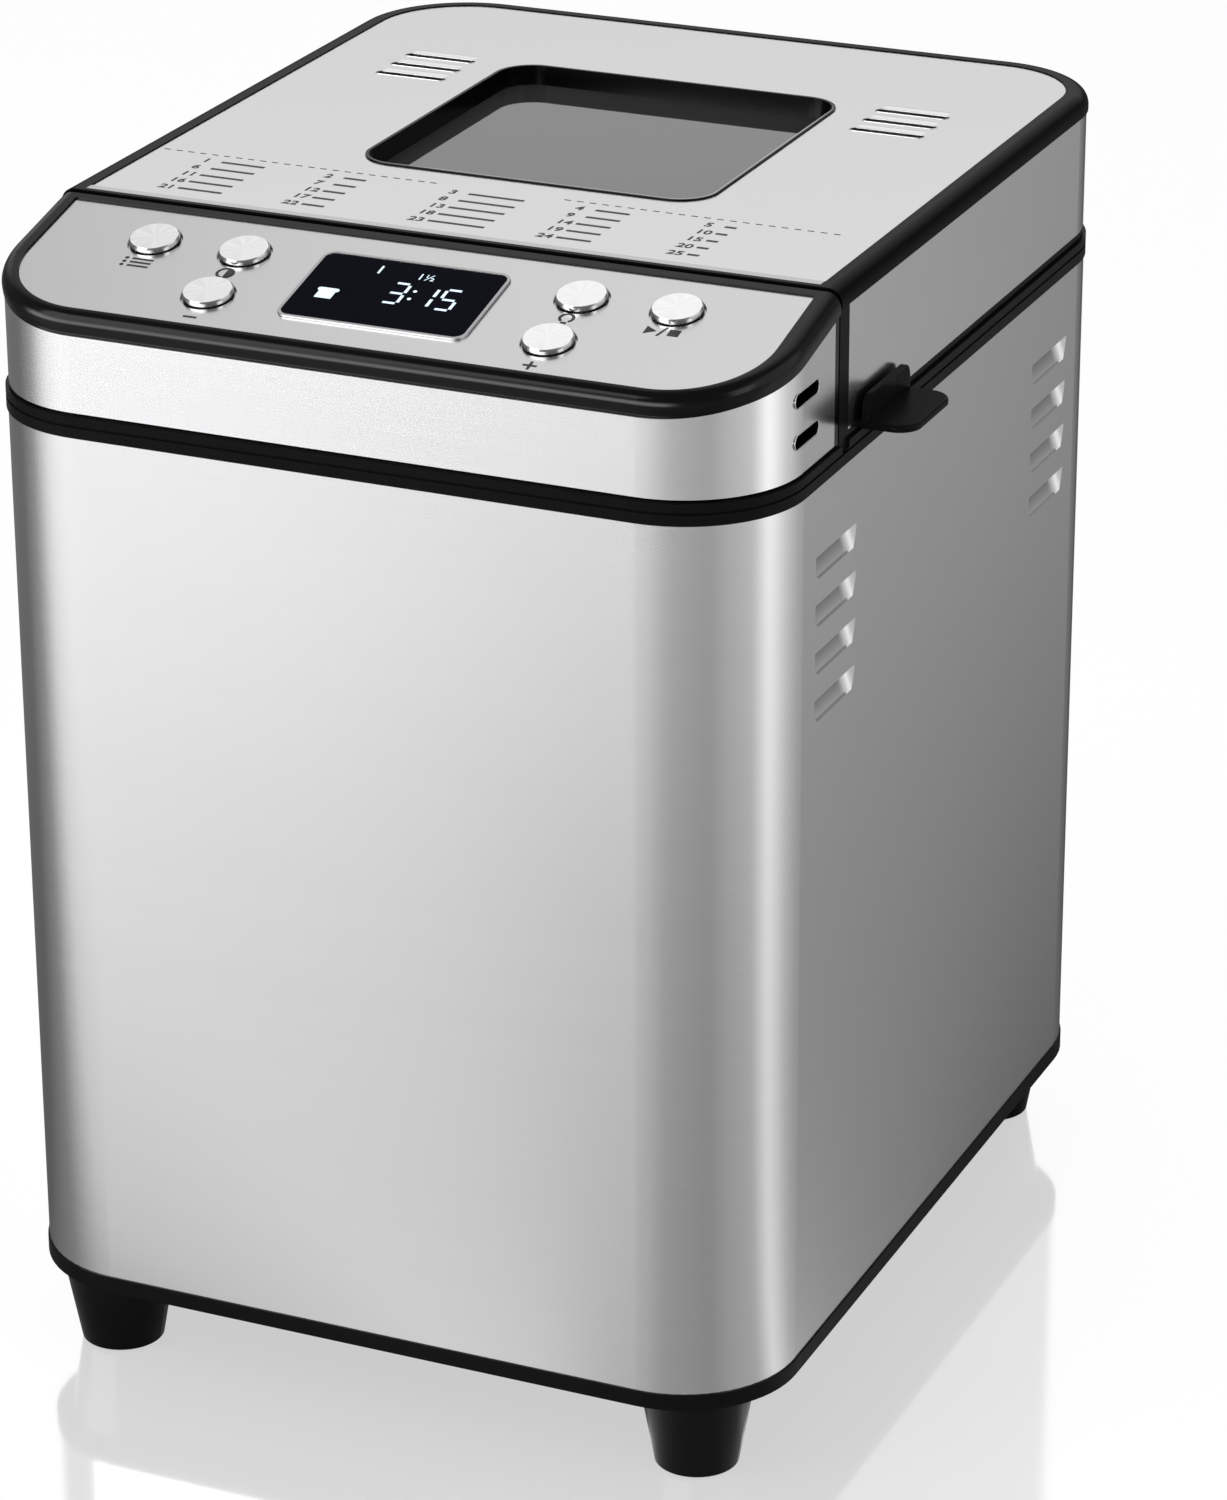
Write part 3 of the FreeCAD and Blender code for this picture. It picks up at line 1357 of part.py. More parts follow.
def tact_switches():
    """One switch on the control board under each button."""
    made = []
    for x, y in button_places().values():
        half = s.switch_size / 2
        low = -s.control_board_drop
        top = low + s.switch_height
        case = span(x - half, x + half, y - half, y + half, low, top)
        plunger = rod(x, y, top, s.button_stem, s.switch_plunger)
        made.append(fuse(case, plunger))
    piece("tact_switches", tilted(group(*made)))


def buttons():
    """Six round caps, each with a flange under the plate and a stem over its switch."""
    stem_low = s.switch_height + s.switch_plunger + s.button_travel + s.fit_gap - s.control_board_drop
    for label, (x, y) in button_places().items():
        edge = s.button_rise - s.button_chamfer
        cap = rod(x, y, -s.button_skirt, s.button_radius, edge + s.button_skirt)
        top = cone(x, y, edge, s.button_radius, s.button_radius - s.button_chamfer, s.button_chamfer)
        flange_top = -s.plate_sheet - s.fit_gap
        flange_height = flange_top + s.button_skirt
        flange_radius = s.button_radius + s.button_gap + s.button_flange
        flange = rod(x, y, -s.button_skirt, flange_radius, flange_height)
        stem = rod(x, y, stem_low, s.button_stem, -s.button_skirt - stem_low)
        piece(label, tilted(fuse(cap, top, flange, stem)))


def heel_relief():
    """What is trimmed from the lid's lower back edge, so that it clears the collar as it turns."""
    top = z_hinge
    block = span(-FAR, FAR, y_hinge, FAR, z_lid, top)
    return cut(block, rod(-FAR, y_hinge, z_hinge, s.hinge_reach, FAR * 2, axis="X"))


def hinge_notches():
    """Room in the lid's back for the collar's ears."""
    made = []
    for side in SIDES:
        half = s.hinge_ear / 2 + s.hinge_gap
        middle = s.hinge_side * side
        room = s.hinge_radius + s.hinge_gap
        made.append(
            span(middle - half, middle + half, y_hinge - room, FAR, z_lid, z_hinge + room)
        )
    return made


def knuckles():
    """Round eyes in the lid, one each side of every ear."""
    made = []
    for side in SIDES:
        for hand in SIDES:
            near = s.hinge_side * side + (s.hinge_ear / 2 + s.hinge_gap) * hand
            low = near if hand > 0 else near - s.knuckle
            made.append(rod(low, y_hinge, z_hinge, s.hinge_radius, s.knuckle, axis="X"))
    return made


def lid_screw_places():
    inner = s.skin_sheet + s.sheet_gap + s.lid_wall
    x = half_width - inner - s.fit_gap - s.screw_head_radius
    return [(x * side, y) for side in SIDES for y in (-s.lid_screw_front, s.lid_screw_back)]


def lid_frame():
    """Black moulding of the lid: its walls, front edge, lower edge, bosses and hinge eyes."""
    body = common(outline(as_size(0), z_lid, z_rim), behind(y_lid, z_lid, z_rim))
    skin_low = z_lid + s.lid_trim
    skin_room = common(
        band(-s.rim_proud, s.skin_sheet + s.sheet_gap, skin_low, z_rim),
        behind(y_lid + s.lid_edge, skin_low, z_rim),
    )
    inner = s.skin_sheet + s.sheet_gap + s.lid_wall
    hollow = common(outline(inner, z_lid, z_rim), behind(y_lid + s.lid_front_wall, z_lid, z_rim))
    walls = cut(body, skin_room, hollow, heel_relief(), *hinge_notches())
    bosses = [
        rod(x, y, z_liner_top, s.boss_radius, z_rim - z_liner_top) for x, y in lid_screw_places()
    ]
    holes = [
        screw_hole(x, y, z_liner_top, z_liner_top + s.screw_grip + s.sheet_gap)
        for x, y in lid_screw_places()
    ]
    solid = fuse(walls, *tongues(as_size(0), as_size(0)), *bosses, *knuckles())
    piece("lid_frame", cut(solid, *holes, *hinge_bores(s.pin_radius + s.running_gap)))


def lid_skin():
    """Steel band round the sides and the back of the lid."""
    low = z_lid + s.lid_trim + s.sheet_gap
    top = z_rim - s.sheet_gap
    hoop = band(as_size(0), s.skin_sheet, low, top)
    start = y_lid + s.lid_edge + s.sheet_gap
    sheet_band = common(hoop, behind(start, low, top))
    piece("lid_skin", cut(sheet_band, heel_relief(), *hinge_notches()))


def lid_plate_outline(grow, low, high):
    """The lid plate's outline, larger all round by an amount."""
    inset = s.rim_side - grow
    return common(outline(inset, low, high), behind(y_lid + s.rim_front - grow, low, high))


def lid_rim():
    """Black rounded rim round the lid plate."""
    top = z_lid_top + s.rim_up
    block = outline(-s.rim_proud, z_rim, top, rounding=s.rim_round)
    ring = common(block, behind(y_lid, z_rim, top))
    seat = lid_plate_outline(s.sheet_gap, z_lid_top - s.plate_sheet, top)
    opening = lid_plate_outline(-s.plate_ledge, z_rim, top)
    piece("lid_rim", cut(ring, seat, opening))


def window_outline(grow, low, high, draft=None):
    """The window opening, larger all round by an amount."""
    length = s.window_width + grow * 2
    width = s.window_depth + grow * 2
    corner = s.window_corner + grow
    return slab(length, width, corner, low, high, y=s.oven_back, draft=draft)


def lid_plate():
    """Steel top of the lid, with the window opening and two sets of vent slots."""
    low = z_lid_top - s.plate_sheet
    holes = [window_outline(as_size(0), low, z_lid_top)]
    for side in SIDES:
        for step in (-1, 0, 1):
            y = s.lid_vent_back + s.lid_vent_pitch * step
            half = s.lid_vent_width / 2
            straight = (s.lid_vent_length - s.lid_vent_width) / 2
            x = s.lid_vent_side * side
            holes.append(span(x - straight, x + straight, y - half, y + half, low, z_lid_top))
            holes.append(rod(x - straight, y, low, half, s.plate_sheet))
            holes.append(rod(x + straight, y, low, half, s.plate_sheet))
    piece("lid_plate", cut(lid_plate_outline(as_size(0), low, z_lid_top), *holes))


def window_bezel():
    """Black window frame whose sloping walls lead down to the glass."""
    low = z_lid_top - s.window_sink
    top = z_lid_top + s.window_lip_rise
    under = z_lid_top - s.plate_sheet
    walls = window_outline(-s.sheet_gap, low, top)
    flange = window_outline(s.window_flange, under - s.window_flange_thickness, under)
    slope = (top - low) * (sine(s.window_draft) / cosine(s.window_draft))
    well = window_outline(-s.window_lip - slope, low, top, draft=s.window_draft)
    piece("window_bezel", cut(fuse(walls, flange), well))


def window_glass():
    top = z_lid_top - s.window_sink
    piece("window_glass", window_outline(-s.sheet_gap, top - s.glass, top))


def lid_liner():
    """Metal underside of the lid, with an opening under the window."""
    inner = s.skin_sheet + s.sheet_gap + s.lid_wall + s.fit_gap
    front = y_lid + s.lid_front_wall + s.fit_gap
    sheet_plate = common(outline(inner, z_liner, z_liner_top), behind(front, z_liner, z_liner_top))
    kept = common(sheet_plate, ahead(y_hinge - s.liner_back, z_liner, z_liner_top))
    holes = [window_outline(-s.glass_border * 2, z_liner, z_liner_top)]
    for x, y in lid_screw_places():
        holes.append(screw_hole(x, y, z_liner, z_liner_top))
    piece("lid_liner", cut(kept, *holes))


def inner_glass():
    high = z_liner_top + s.glass
    piece("inner_glass", window_outline(-s.glass_border, z_liner_top, high))


def lid_seal():
    """Soft ring under the liner, round the oven's mouth."""
    low = z_collar + s.fit_gap
    rings = []
    for grow in (s.seal_inset + s.seal_width, s.seal_inset):
        length = oven_width + grow * 2
        width = oven_depth + grow * 2
        rings.append(slab(length, width, s.oven_corner + grow, low, z_liner, y=s.oven_back))
    piece("lid_seal", cut(*rings))


def lid_screws():
    length = s.liner_sheet + s.screw_grip
    screws = [screw(x, y, z_liner, length, up=False) for x, y in lid_screw_places()]
    piece("lid_screws", group(*screws))


def standing_slab(y, inset, near, far, low):
    """A rounded plate on the lid's right side, drawn flat and stood up."""
    tall = (s.handle_height - inset) * 2
    long = s.handle_length - inset * 2
    flat = slab(tall, long, s.handle_round - inset, as_size(0), far - near)
    plate = group(flat)
    plate.Placement.Rotation = AXES["X"]
    put(plate, near, y, low)
    return common(plate, span(near, far, -FAR, FAR, low, low + s.handle_height))


def lid_handle():
    """Finger tab on the right of the lid, under a dished upright plate."""
    face = half_width
    back = face + s.handle_stand
    front = back + s.handle_plate
    tab_top = z_lid + s.handle_tab
    y = -s.handle_back
    tab_block = slab(
        s.handle_reach * 2,
        s.handle_length,
        s.handle_corner,
        z_lid,
        tab_top,
        x=face,
        y=y,
        rounding=s.handle_edge,
    )
    tab = common(tab_block, span(face, FAR, -FAR, FAR, z_lid, tab_top))
    plate = standing_slab(y, as_size(0), back, front, z_lid)
    pocket = standing_slab(y, s.handle_wall, front - s.handle_dish, front, z_lid)
    turn = as_size(90) - s.handle_slope
    slope = group(span(-FAR, FAR, -FAR, 0, z_lid, z_lid_top))
    slope.Placement.Rotation = FreeCAD.Rotation(FreeCAD.Vector(0, 0, 1), turn.number)
    slope.setExpression("Placement.Rotation.Angle", turn.text)
    put(slope, front, y + s.handle_length / 2 - s.handle_wall, 0)
    piece("lid_handle", fuse(cut(plate, common(pocket, slope)), tab))


def hinge_pins():
    length = s.hinge_ear + s.knuckle * 2
    pins = [
        rod(s.hinge_side * side - length / 2, y_hinge, z_hinge, s.pin_radius, length, axis="X")
        for side in SIDES
    ]
    piece("hinge_pins", group(*pins))


def pan_outline(grow, low, high):
    """The bread pan's plan, larger all round by an amount."""
    length = s.pan_width + grow * 2
    width = s.pan_depth + grow * 2
    return slab(length, width, s.pan_corner + grow, low, high, y=s.oven_back)


def bread_pan():
    """Deep pan with a rolled rim and an ear on each side for the bail."""
    wall = pan_outline(as_size(0), z_pan, z_pan_top)
    rim = pan_outline(s.pan_rim, z_pan_top - s.pan_rim_height, z_pan_top)
    room = pan_outline(-s.pan_wall, z_pan_floor, z_pan_top)
    pivot = z_pan_top - s.bail_drop
    half = s.ear_width / 2
    ears = []
    holes = [rod(0, s.oven_back, z_pan, s.pan_bush_radius + s.sheet_gap, s.pan_wall)]
    for side in SIDES:
        near = (s.pan_width / 2 - s.pan_wall / 2) * side
        far = (s.pan_width / 2 + s.pan_rim) * side
        low, high = (near, far) if side > 0 else (far, near)
        y = s.oven_back
        ears.append(span(low, high, y - half, y + half, pivot - s.ear_below, z_pan_top))
        start = s.pan_width / 2 + s.fit_gap
        bore = rod(
            start if side > 0 else -start - s.pan_rim,
            y,
            pivot,
            s.bail_pin + s.running_gap,
            s.pan_rim,
            axis="X",
        )
        holes.append(bore)
    piece("bread_pan", cut(fuse(wall, rim, *ears), room, *holes))


def pan_base():
    """Ring under the pan, with the plate that holds its bush."""
    y = s.oven_back
    ring = rod(0, y, z_socket, s.pan_base_radius, s.pan_base_height)
    inner = s.pan_base_radius - s.pan_base_wall
    room = rod(0, y, z_socket, inner, s.pan_base_height - s.pan_base_plate)
    hole_low = z_pan - s.pan_base_plate
    hole = rod(0, y, hole_low, s.pan_bush_radius + s.sheet_gap, s.pan_base_plate)
    piece("pan_base", cut(ring, room, hole))


def pan_bearing():
    """Bush and seal that the pan's shaft turns in."""
    y = s.oven_back
    low = z_pan - s.pan_base_plate
    top = z_pan_floor + s.pan_bush_rise
    barrel = rod(0, y, low, s.pan_bush_radius, top - low)
    flange = rod(0, y, z_pan_floor, s.pan_bush_flange, s.pan_bush_rise)
    bore = rod(0, y, low, s.shaft_radius + s.running_gap, top - low)
    piece("pan_bearing", cut(fuse(barrel, flange), bore))


def pan_shaft():
    low = z_wings
    high = z_pan_floor + s.pan_bush_rise + s.paddle_lift + s.paddle_bore
    piece("pan_shaft", rod(0, s.oven_back, low, s.shaft_radius, high - low))


def wing_coupling():
    """Two wings on the foot of the pan's shaft, which the coupler's dogs push."""
    y = s.oven_back
    half = s.wing_width / 2
    reach = s.coupler_radius - s.fit_gap
    bar = span(-half, half, y - reach, y + reach, z_wings, z_wings + s.wing_height)
    hub = rod(0, y, z_wings, s.wing_hub, s.wing_height)
    bore = rod(0, y, z_wings, s.shaft_radius + s.press_gap, s.wing_height)
    piece("wing_coupling", cut(fuse(bar, hub), bore))


def kneading_paddle():
    """Paddle on the pan's shaft: a hub, and one leaning blade with a rounded tip."""
    y = s.oven_back
    low = z_pan_floor + s.pan_bush_rise + s.paddle_lift
    hub = rod(0, y, low, s.paddle_hub_radius, s.paddle_hub_height)
    half = s.paddle_blade / 2
    tip = s.paddle_reach - s.paddle_height / 2
    plate = span(0, tip, -half, half, 0, s.paddle_height)
    round_tip = rod(tip, -half, s.paddle_height / 2, s.paddle_height / 2, s.paddle_blade, axis="Y")
    blade = group(fuse(plate, round_tip))
    lean = FreeCAD.Rotation(FreeCAD.Vector(1, 0, 0), s.paddle_lean.number)
    blade.Placement.Rotation = lean
    blade.setExpression("Placement.Rotation.Angle", s.paddle_lean.text)
    put(blade, 0, y, low + half * sine(s.paddle_lean))
    bore_height = s.paddle_bore + s.sheet_gap
    bore = rod(0, y, low, s.shaft_radius + s.running_gap, bore_height)
    piece("kneading_paddle", cut(fuse(hub, blade), bore))


def bail_handle():
    """Wire bail on the pan, folded back over its rim at rest."""
    arm = s.pan_width / 2 + s.pan_rim + s.bail_side_gap
    reach = s.bail_reach
    wire = s.bail_radius
    solids = [rod(-arm, reach, 0, wire, arm * 2, axis="X")]
    for side in SIDES:
        x = arm * side
        solids.append(rod(x, 0, 0, wire, reach, axis="Y"))
        solids.append(ball(x, reach, 0, wire))
        solids.append(ball(x, 0, 0, wire))
        start = s.pan_width / 2 + s.fit_gap * 2
        length = arm - start
        solids.append(rod(start if side > 0 else -arm, 0, 0, s.bail_pin, length, axis="X"))
    bail = group(fuse(*solids))
    bail.Placement.Rotation = FreeCAD.Rotation(FreeCAD.Vector(1, 0, 0), s.bail_rest.number)
    bail.setExpression("Placement.Rotation.Angle", s.bail_rest.text)
    piece("bail_handle", put(bail, 0, s.oven_back, z_pan_top - s.bail_drop))


def build():
    """Makes every piece, from the worktop up."""
    for make in (
        base_tray,
        feet,
        foot_pads,
        foot_screws,
        housing_wrap,
        cord_gland,
        collar,
        deck_screws,
        oven_chamber,
        heating_element,
        element_bushings,
        temperature_sensor,
        thermal_fuse,
        chamber_lamp,
        pan_socket,
        chassis_plate,
        chassis_screws,
        motor,
        run_capacitor,
        motor_pulley,
        drive_pulley,
        drive_belt,
        drive_bearing,
        drive_shaft,
        drive_coupler,
        power_board,
        power_components,
        console_frame,
        console_skin,
        control_plate,
        display_bezel,
        display_lens,
        lcd_module,
        control_board,
        tact_switches,
        buttons,
        lid_frame,
        lid_skin,
        lid_rim,
        lid_plate,
        window_bezel,
        window_glass,
        lid_liner,
        inner_glass,
        lid_seal,
        lid_screws,
        lid_handle,
        hinge_pins,
        bread_pan,
        pan_base,
        pan_bearing,
        pan_shaft,
        wing_coupling,
        kneading_paddle,
        bail_handle,
    ):
        make()
    doc.recompute()


def check():
    """Stops if any object failed or any piece has no sound shape."""
    for item in doc.Objects:
        bad = [word for word in item.State if word in ("Invalid", "Error")]
        if bad:
            raise RuntimeError(f"{item.Name} ({item.Label}) is {bad}")
    for label, item in pieces.items():
        shape = item.Shape
        if shape.isNull() or not shape.isValid() or not shape.Solids:
            raise RuntimeError(f"{label} has no sound shape")


def write():
    """Writes one STEP file for each piece."""
    os.makedirs("parts", exist_ok=True)
    for label, item in pieces.items():
        item.Shape.exportStep(f"parts/{label}.step")
        box = item.Shape.BoundBox
        print(f"{label}: {len(item.Shape.Solids)} solids, {item.Shape.Volume:.0f} mm3,", end=" ")
        print(f"z {box.ZMin:.1f} to {box.ZMax:.1f}")


build()
check()
write()
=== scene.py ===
import json
import math

import bmesh
import bpy
from bpy.props import FloatProperty, FloatVectorProperty, IntProperty, PointerProperty
from mathutils import Matrix, Vector


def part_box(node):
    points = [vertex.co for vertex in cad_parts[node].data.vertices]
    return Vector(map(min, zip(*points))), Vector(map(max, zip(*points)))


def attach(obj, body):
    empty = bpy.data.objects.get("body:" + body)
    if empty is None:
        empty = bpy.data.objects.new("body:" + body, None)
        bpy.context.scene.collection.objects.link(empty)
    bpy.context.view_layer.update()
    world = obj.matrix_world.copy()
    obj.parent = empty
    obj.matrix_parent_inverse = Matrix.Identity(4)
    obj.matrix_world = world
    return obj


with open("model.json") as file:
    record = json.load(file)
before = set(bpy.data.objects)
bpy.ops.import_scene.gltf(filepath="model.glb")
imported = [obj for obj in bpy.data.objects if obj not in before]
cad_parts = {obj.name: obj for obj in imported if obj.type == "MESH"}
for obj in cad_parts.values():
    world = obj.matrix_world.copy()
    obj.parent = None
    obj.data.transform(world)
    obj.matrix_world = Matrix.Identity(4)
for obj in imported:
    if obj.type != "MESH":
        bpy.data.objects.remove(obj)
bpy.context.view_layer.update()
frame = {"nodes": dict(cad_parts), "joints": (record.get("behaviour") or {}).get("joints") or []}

bl_info = {
    "name": "Bread machine looks",
    "version": (1, 0, 0),
    "blender": (4, 5, 0),
    "location": "3D View > Sidebar > Bread machine",
    "description": "Gives the packed bread machine its finishes, printed marks, display and studio",
    "category": "Object",
}

# Left and right, and the radius of the case's corners
SIDES = (-1, 1)
CASE_CORNER = 0.0316

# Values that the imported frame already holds
PRESS = next(j["axis"] for j in frame["joints"] if j["name"] == "start_press")
SLOPE = math.asin(PRESS[1])
LID_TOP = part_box("lid_plate")[1].z
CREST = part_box("control_plate")[1].z
OVEN_MIDDLE = next(j["pos_m"][1] for j in frame["joints"] if j["name"] == "drive_spin")
WINDOW = (0, OVEN_MIDDLE, LID_TOP)
FRONT_CORNER = (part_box("housing_wrap")[1].x - CASE_CORNER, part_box("housing_wrap")[0].y + CASE_CORNER)

# Widths over which painted edges fade, in metres
HAIR = 0.000111
CRISP = 0.00025
FOOT_FADE = 0.0002
CREASE_FADE = 0.0004
SOFT = 0.00111
LOUVRE_FADE = 0.00167
SCOOP_FADE = 0.0025
WINDOW_FADE = 0.025

# Depths of fine scratches, of grain and of waves in glass
SCRATCH = 0.00002
GRIT = 0.00003
WAVE = 0.0002

# Height of a printed figure as a share of its letter size
FIGURE_SHARE = 0.73


def length(name, description, default):
    """A size in metres that a user may change."""
    return FloatProperty(name=name, description=description, default=default, unit="LENGTH", precision=5)


def colour(name, description, default):
    return FloatVectorProperty(
        name=name, description=description, default=default, subtype="COLOR", min=0, max=1
    )


class MachineSizes(bpy.types.PropertyGroup):
    """Sizes of what is printed, rolled or lit on the machine."""

    slope: FloatProperty(
        name="Console slope", description="Slope of the control plate", default=SLOPE, subtype="ANGLE"
    )
    plate_rear: length("Plate rear", "Middle of the case to the control plate's rear edge", 0.0813)
    ink: length("Ink", "Thickness of printed marks", 0.00004)
    number_height: length("Number height", "Printed program numbers", 0.0033)
    number_left: length("First column", "Middle of the lid to the first column of numbers", -0.0877)
    number_pitch: length("Column pitch", "One column of numbers to the next", 0.0364)
    number_rear: length("First row", "Middle of the case to the first row of numbers", -0.0414)
    row_pitch: length("Row pitch", "One row of numbers to the next", 0.0062)
    columns: IntProperty(name="Columns", description="Columns of program numbers", default=5, min=1)
    rows: IntProperty(name="Rows", description="Rows of program numbers", default=5, min=1)
    number_room: length("Number room", "A number's start to the line beside it", 0.0056)
    line_width: length("Line width", "Lines printed beside the numbers", 0.0013)
    line_step: length("Line step", "Lines beside the numbers are multiples of this", 0.0032)
    number_bold: length("Number weight", "What is added to a number's strokes", 0.0001)
    dash: length("Dash", "One dash of the printed line", 0.0018)
    dash_pitch: length("Dash pitch", "One dash to the next", 0.0036)
    dash_width: length("Dash width", "Width of the printed line", 0.0005)
    dash_row: length("Dashed line", "Middle of the case to the printed line", -0.0361)
    segment: length("Segment", "Stroke of a display digit", 0.00085)
    digit_height: length("Digit height", "Large digits of the display", 0.0094)
    digit_width: length("Digit width", "Large digits of the display", 0.0042)
    button_face: length("Button face", "Middle of a button to the edge of its face", 0.0063)
    window_width: length("Window width", "Window opening, side to side", 0.102)
    window_depth: length("Window depth", "Window opening, front to back", 0.1032)
    window_corner: length("Window corner", "Corner of the window opening", 0.011)
    # Where the painted highlight line inside the window opening lies
    window_highlight: length("Window line", "Window opening to the bright line inside it", 0.0009)
    louvre_back: length("Louvre middle", "Middle of the case to the middle of both rows", 0.0012)
    louvre_reach: length("Louvre reach", "Middle of the rows to the middle of one row", 0.0804)
    louvre_half: length("Half louvre", "Middle of a louvre to its front end", 0.0152)
    louvre_floor: length("Louvre floor", "Middle of a louvre to its rear scoop", 0.0085)
    louvre_lip: length("Louvre lip", "Depth at which a louvre begins to darken", 0.0004)
    vent_middle: length("Vent middle", "Middle of the case to the lid's middle slots", 0.063)
    vent_pitch: length("Vent pitch", "One slot of the lid to the next", 0.00972)
    vent_side: length("Vent side", "Middle of the lid to its slots", 0.0716)
    vent_length: length("Vent length", "Slot of the lid, end to end", 0.0214)
    vent_width: length("Vent width", "Slot of the lid, front to back", 0.003)
    side_pitch: length("Side vent pitch", "One slot of the console to the next", 0.01075)
    side_length: length("Side vent length", "Slot of the console, end to end", 0.0159)
    side_width: length("Side vent width", "Slot of the console, up and down", 0.0038)
    side_back: length("Side vent back", "Rear of the console's steel to its slots", 0.0185)
    side_low: length("Side vent low", "Foot of the console's steel to its lower slot", 0.0091)
    # Where the painted highlight and painted shadow line behind each lid slot lie
    hood_half: length("Half hood", "Middle of a slot to the end of the slope behind it", 0.0100)
    hood_low: length("Hood foot", "Middle of a slot to the foot of the slope", 0.0015)
    hood_high: length("Hood crease", "Middle of a slot to the crease of the slope", 0.0052)
    sign_line: length("Sign line", "Strokes of the signs beside the buttons", 0.0008)
    lip_width: length("Lip", "Folded lip along the front of the lid plate", 0.003)
    hem: length("Hem", "Radius of the rolled edge round a vent slot", 0.00016)


class MachineColours(bpy.types.PropertyGroup):
    """Colours of the machine's finishes."""

    steel: colour("Steel", "Brushed steel of the case", (0.74, 0.74, 0.75))
    plate: colour("Plate steel", "Control plate and lid plate", (0.70, 0.70, 0.70))
    button: colour("Button caps", "Spun metal of the buttons", (0.93, 0.93, 0.93))
    gloss: colour("Gloss black", "Rims, window frame and feet", (0.0022, 0.0022, 0.0025))
    satin: colour("Satin black", "Collar, base, lid frame and handle", (0.0070, 0.0070, 0.0078))
    lip: colour("Lip", "Front lip of the lid plate", (0.50, 0.50, 0.50))
    ink: colour("Ink", "Printed marks", (0.012, 0.012, 0.014))
    glow: colour("Glow", "Lit marks of the display", (0.72, 0.88, 1.0))
    coating: colour("Pan coating", "Non-stick coating", (0.055, 0.055, 0.058))


def sizes():
    return bpy.context.scene.bread_machine_sizes


def colours():
    return bpy.context.scene.bread_machine_colours


# Materials


class Reading:
    """One output of a material's nodes; arithmetic on it adds Math nodes."""

    def __init__(self, paint, socket):
        self.paint = paint
        self.socket = socket

    def __add__(self, other):
        return self.paint.maths("ADD", self, other)

    def __radd__(self, other):
        return self.paint.maths("ADD", other, self)

    def __sub__(self, other):
        return self.paint.maths("SUBTRACT", self, other)

    def __rsub__(self, other):
        return self.paint.maths("SUBTRACT", other, self)

    def __mul__(self, other):
        return self.paint.maths("MULTIPLY", self, other)

    def __rmul__(self, other):
        return self.paint.maths("MULTIPLY", other, self)

    def __truediv__(self, other):
        return self.paint.maths("DIVIDE", self, other)


class Paint:
    """A material under construction."""

    def __init__(self, name, tree=None):
        if tree is None:
            self.material = bpy.data.materials.new(name)
            self.material.use_nodes = True
            tree = self.material.node_tree
        self.tree = tree
        self.tree.nodes.clear()

    def add(self, kind, settings=None, sockets=None, out=0):
        """Adds a node: its settings first, then the values or links of its sockets."""
        node = self.tree.nodes.new(kind)
        for key, value in (settings or {}).items():
            if key == "stops":
                self.set_stops(node.color_ramp, value)
            else:
                setattr(node, key, value)
        for key, value in (sockets or {}).items():
            if isinstance(value, Reading):
                self.tree.links.new(value.socket, node.inputs[key])
            else:
                node.inputs[key].default_value = value
        return Reading(self, node.outputs[out]) if node.outputs else node

    def set_stops(self, ramp, stops):
        while len(ramp.elements) < len(stops):
            ramp.elements.new(1.0)
        for element, (place, shade) in zip(ramp.elements, stops):
            element.position = place
            element.color = (shade, shade, shade, 1)

    def maths(self, operation, *values):
        return self.add("ShaderNodeMath", {"operation": operation}, dict(enumerate(values)))

    def clamp(self, value):
        return self.add("ShaderNodeClamp", None, {0: value})

    def edge(self, distance, width):
        """Rises from 0 to 1 over a width."""
        return self.clamp(distance * (1 / width))

    def stripe(self, distance, width, flat):
        """1 in the flat middle of a line, falling to 0 over a width on both sides."""
        return self.clamp(flat - self.maths("ABSOLUTE", distance) * (1 / width))

    def split(self, where):
        """The three parts of a vector."""
        parts = self.add("ShaderNodeSeparateXYZ", None, {0: where})
        return [Reading(self, socket) for socket in parts.socket.node.outputs]

    def coordinates(self, scale=(1, 1, 1), centre=(0, 0, 0), turn=(0, 0, 0)):
        """The piece's own place, seen from a centre, turned and then stretched."""
        here = self.add("ShaderNodeTexCoord", out=3)
        if centre != (0, 0, 0) or turn != (0, 0, 0):
            here = self.add(
                "ShaderNodeMapping",
                {"vector_type": "TEXTURE"},
                {"Vector": here, "Location": centre, "Rotation": turn},
            )
        return self.vector("MULTIPLY", here, scale)

    def vector(self, operation, *values, out=0):
        return self.add("ShaderNodeVectorMath", {"operation": operation}, dict(enumerate(values)), out)

    def noise(self, where, detail=2.0, roughness=0.5):
        return self.add(
            "ShaderNodeTexNoise",
            None,
            {"Vector": where, "Scale": 1.0, "Detail": detail, "Roughness": roughness},
        )

    def grain(self, size, detail=2.0):
        """Noise that is equally fine in all directions."""
        return self.noise(self.coordinates((size, size, size)), detail)

    def opaque(self, tone):
        return tone if isinstance(tone, Reading) else (*tone, 1)

    def tint(self, factor, low, high):
        """A colour between two."""
        return self.add(
            "ShaderNodeMix",
            {"data_type": "RGBA"},
            {0: factor, 6: self.opaque(low), 7: self.opaque(high)},
            out=2,
        )

    def bump(self, height, strength, depth):
        return self.add(
            "ShaderNodeBump", None, {"Height": height, "Strength": strength, "Distance": depth}
        )

    def finish(self, **sockets):
        """Ends in one Principled shader; underscores stand for spaces in socket names."""
        named = {key.replace("_", " "): value for key, value in sockets.items()}
        for key in {"Base Color", "Emission Color"} & named.keys():
            named[key] = self.opaque(named[key])
        shader = self.add("ShaderNodeBsdfPrincipled", None, named)
        self.add("ShaderNodeOutputMaterial", None, {"Surface": shader})
        return self.material


def shade(tone, amount):
    return tuple(min(1.0, part * amount) for part in tone)


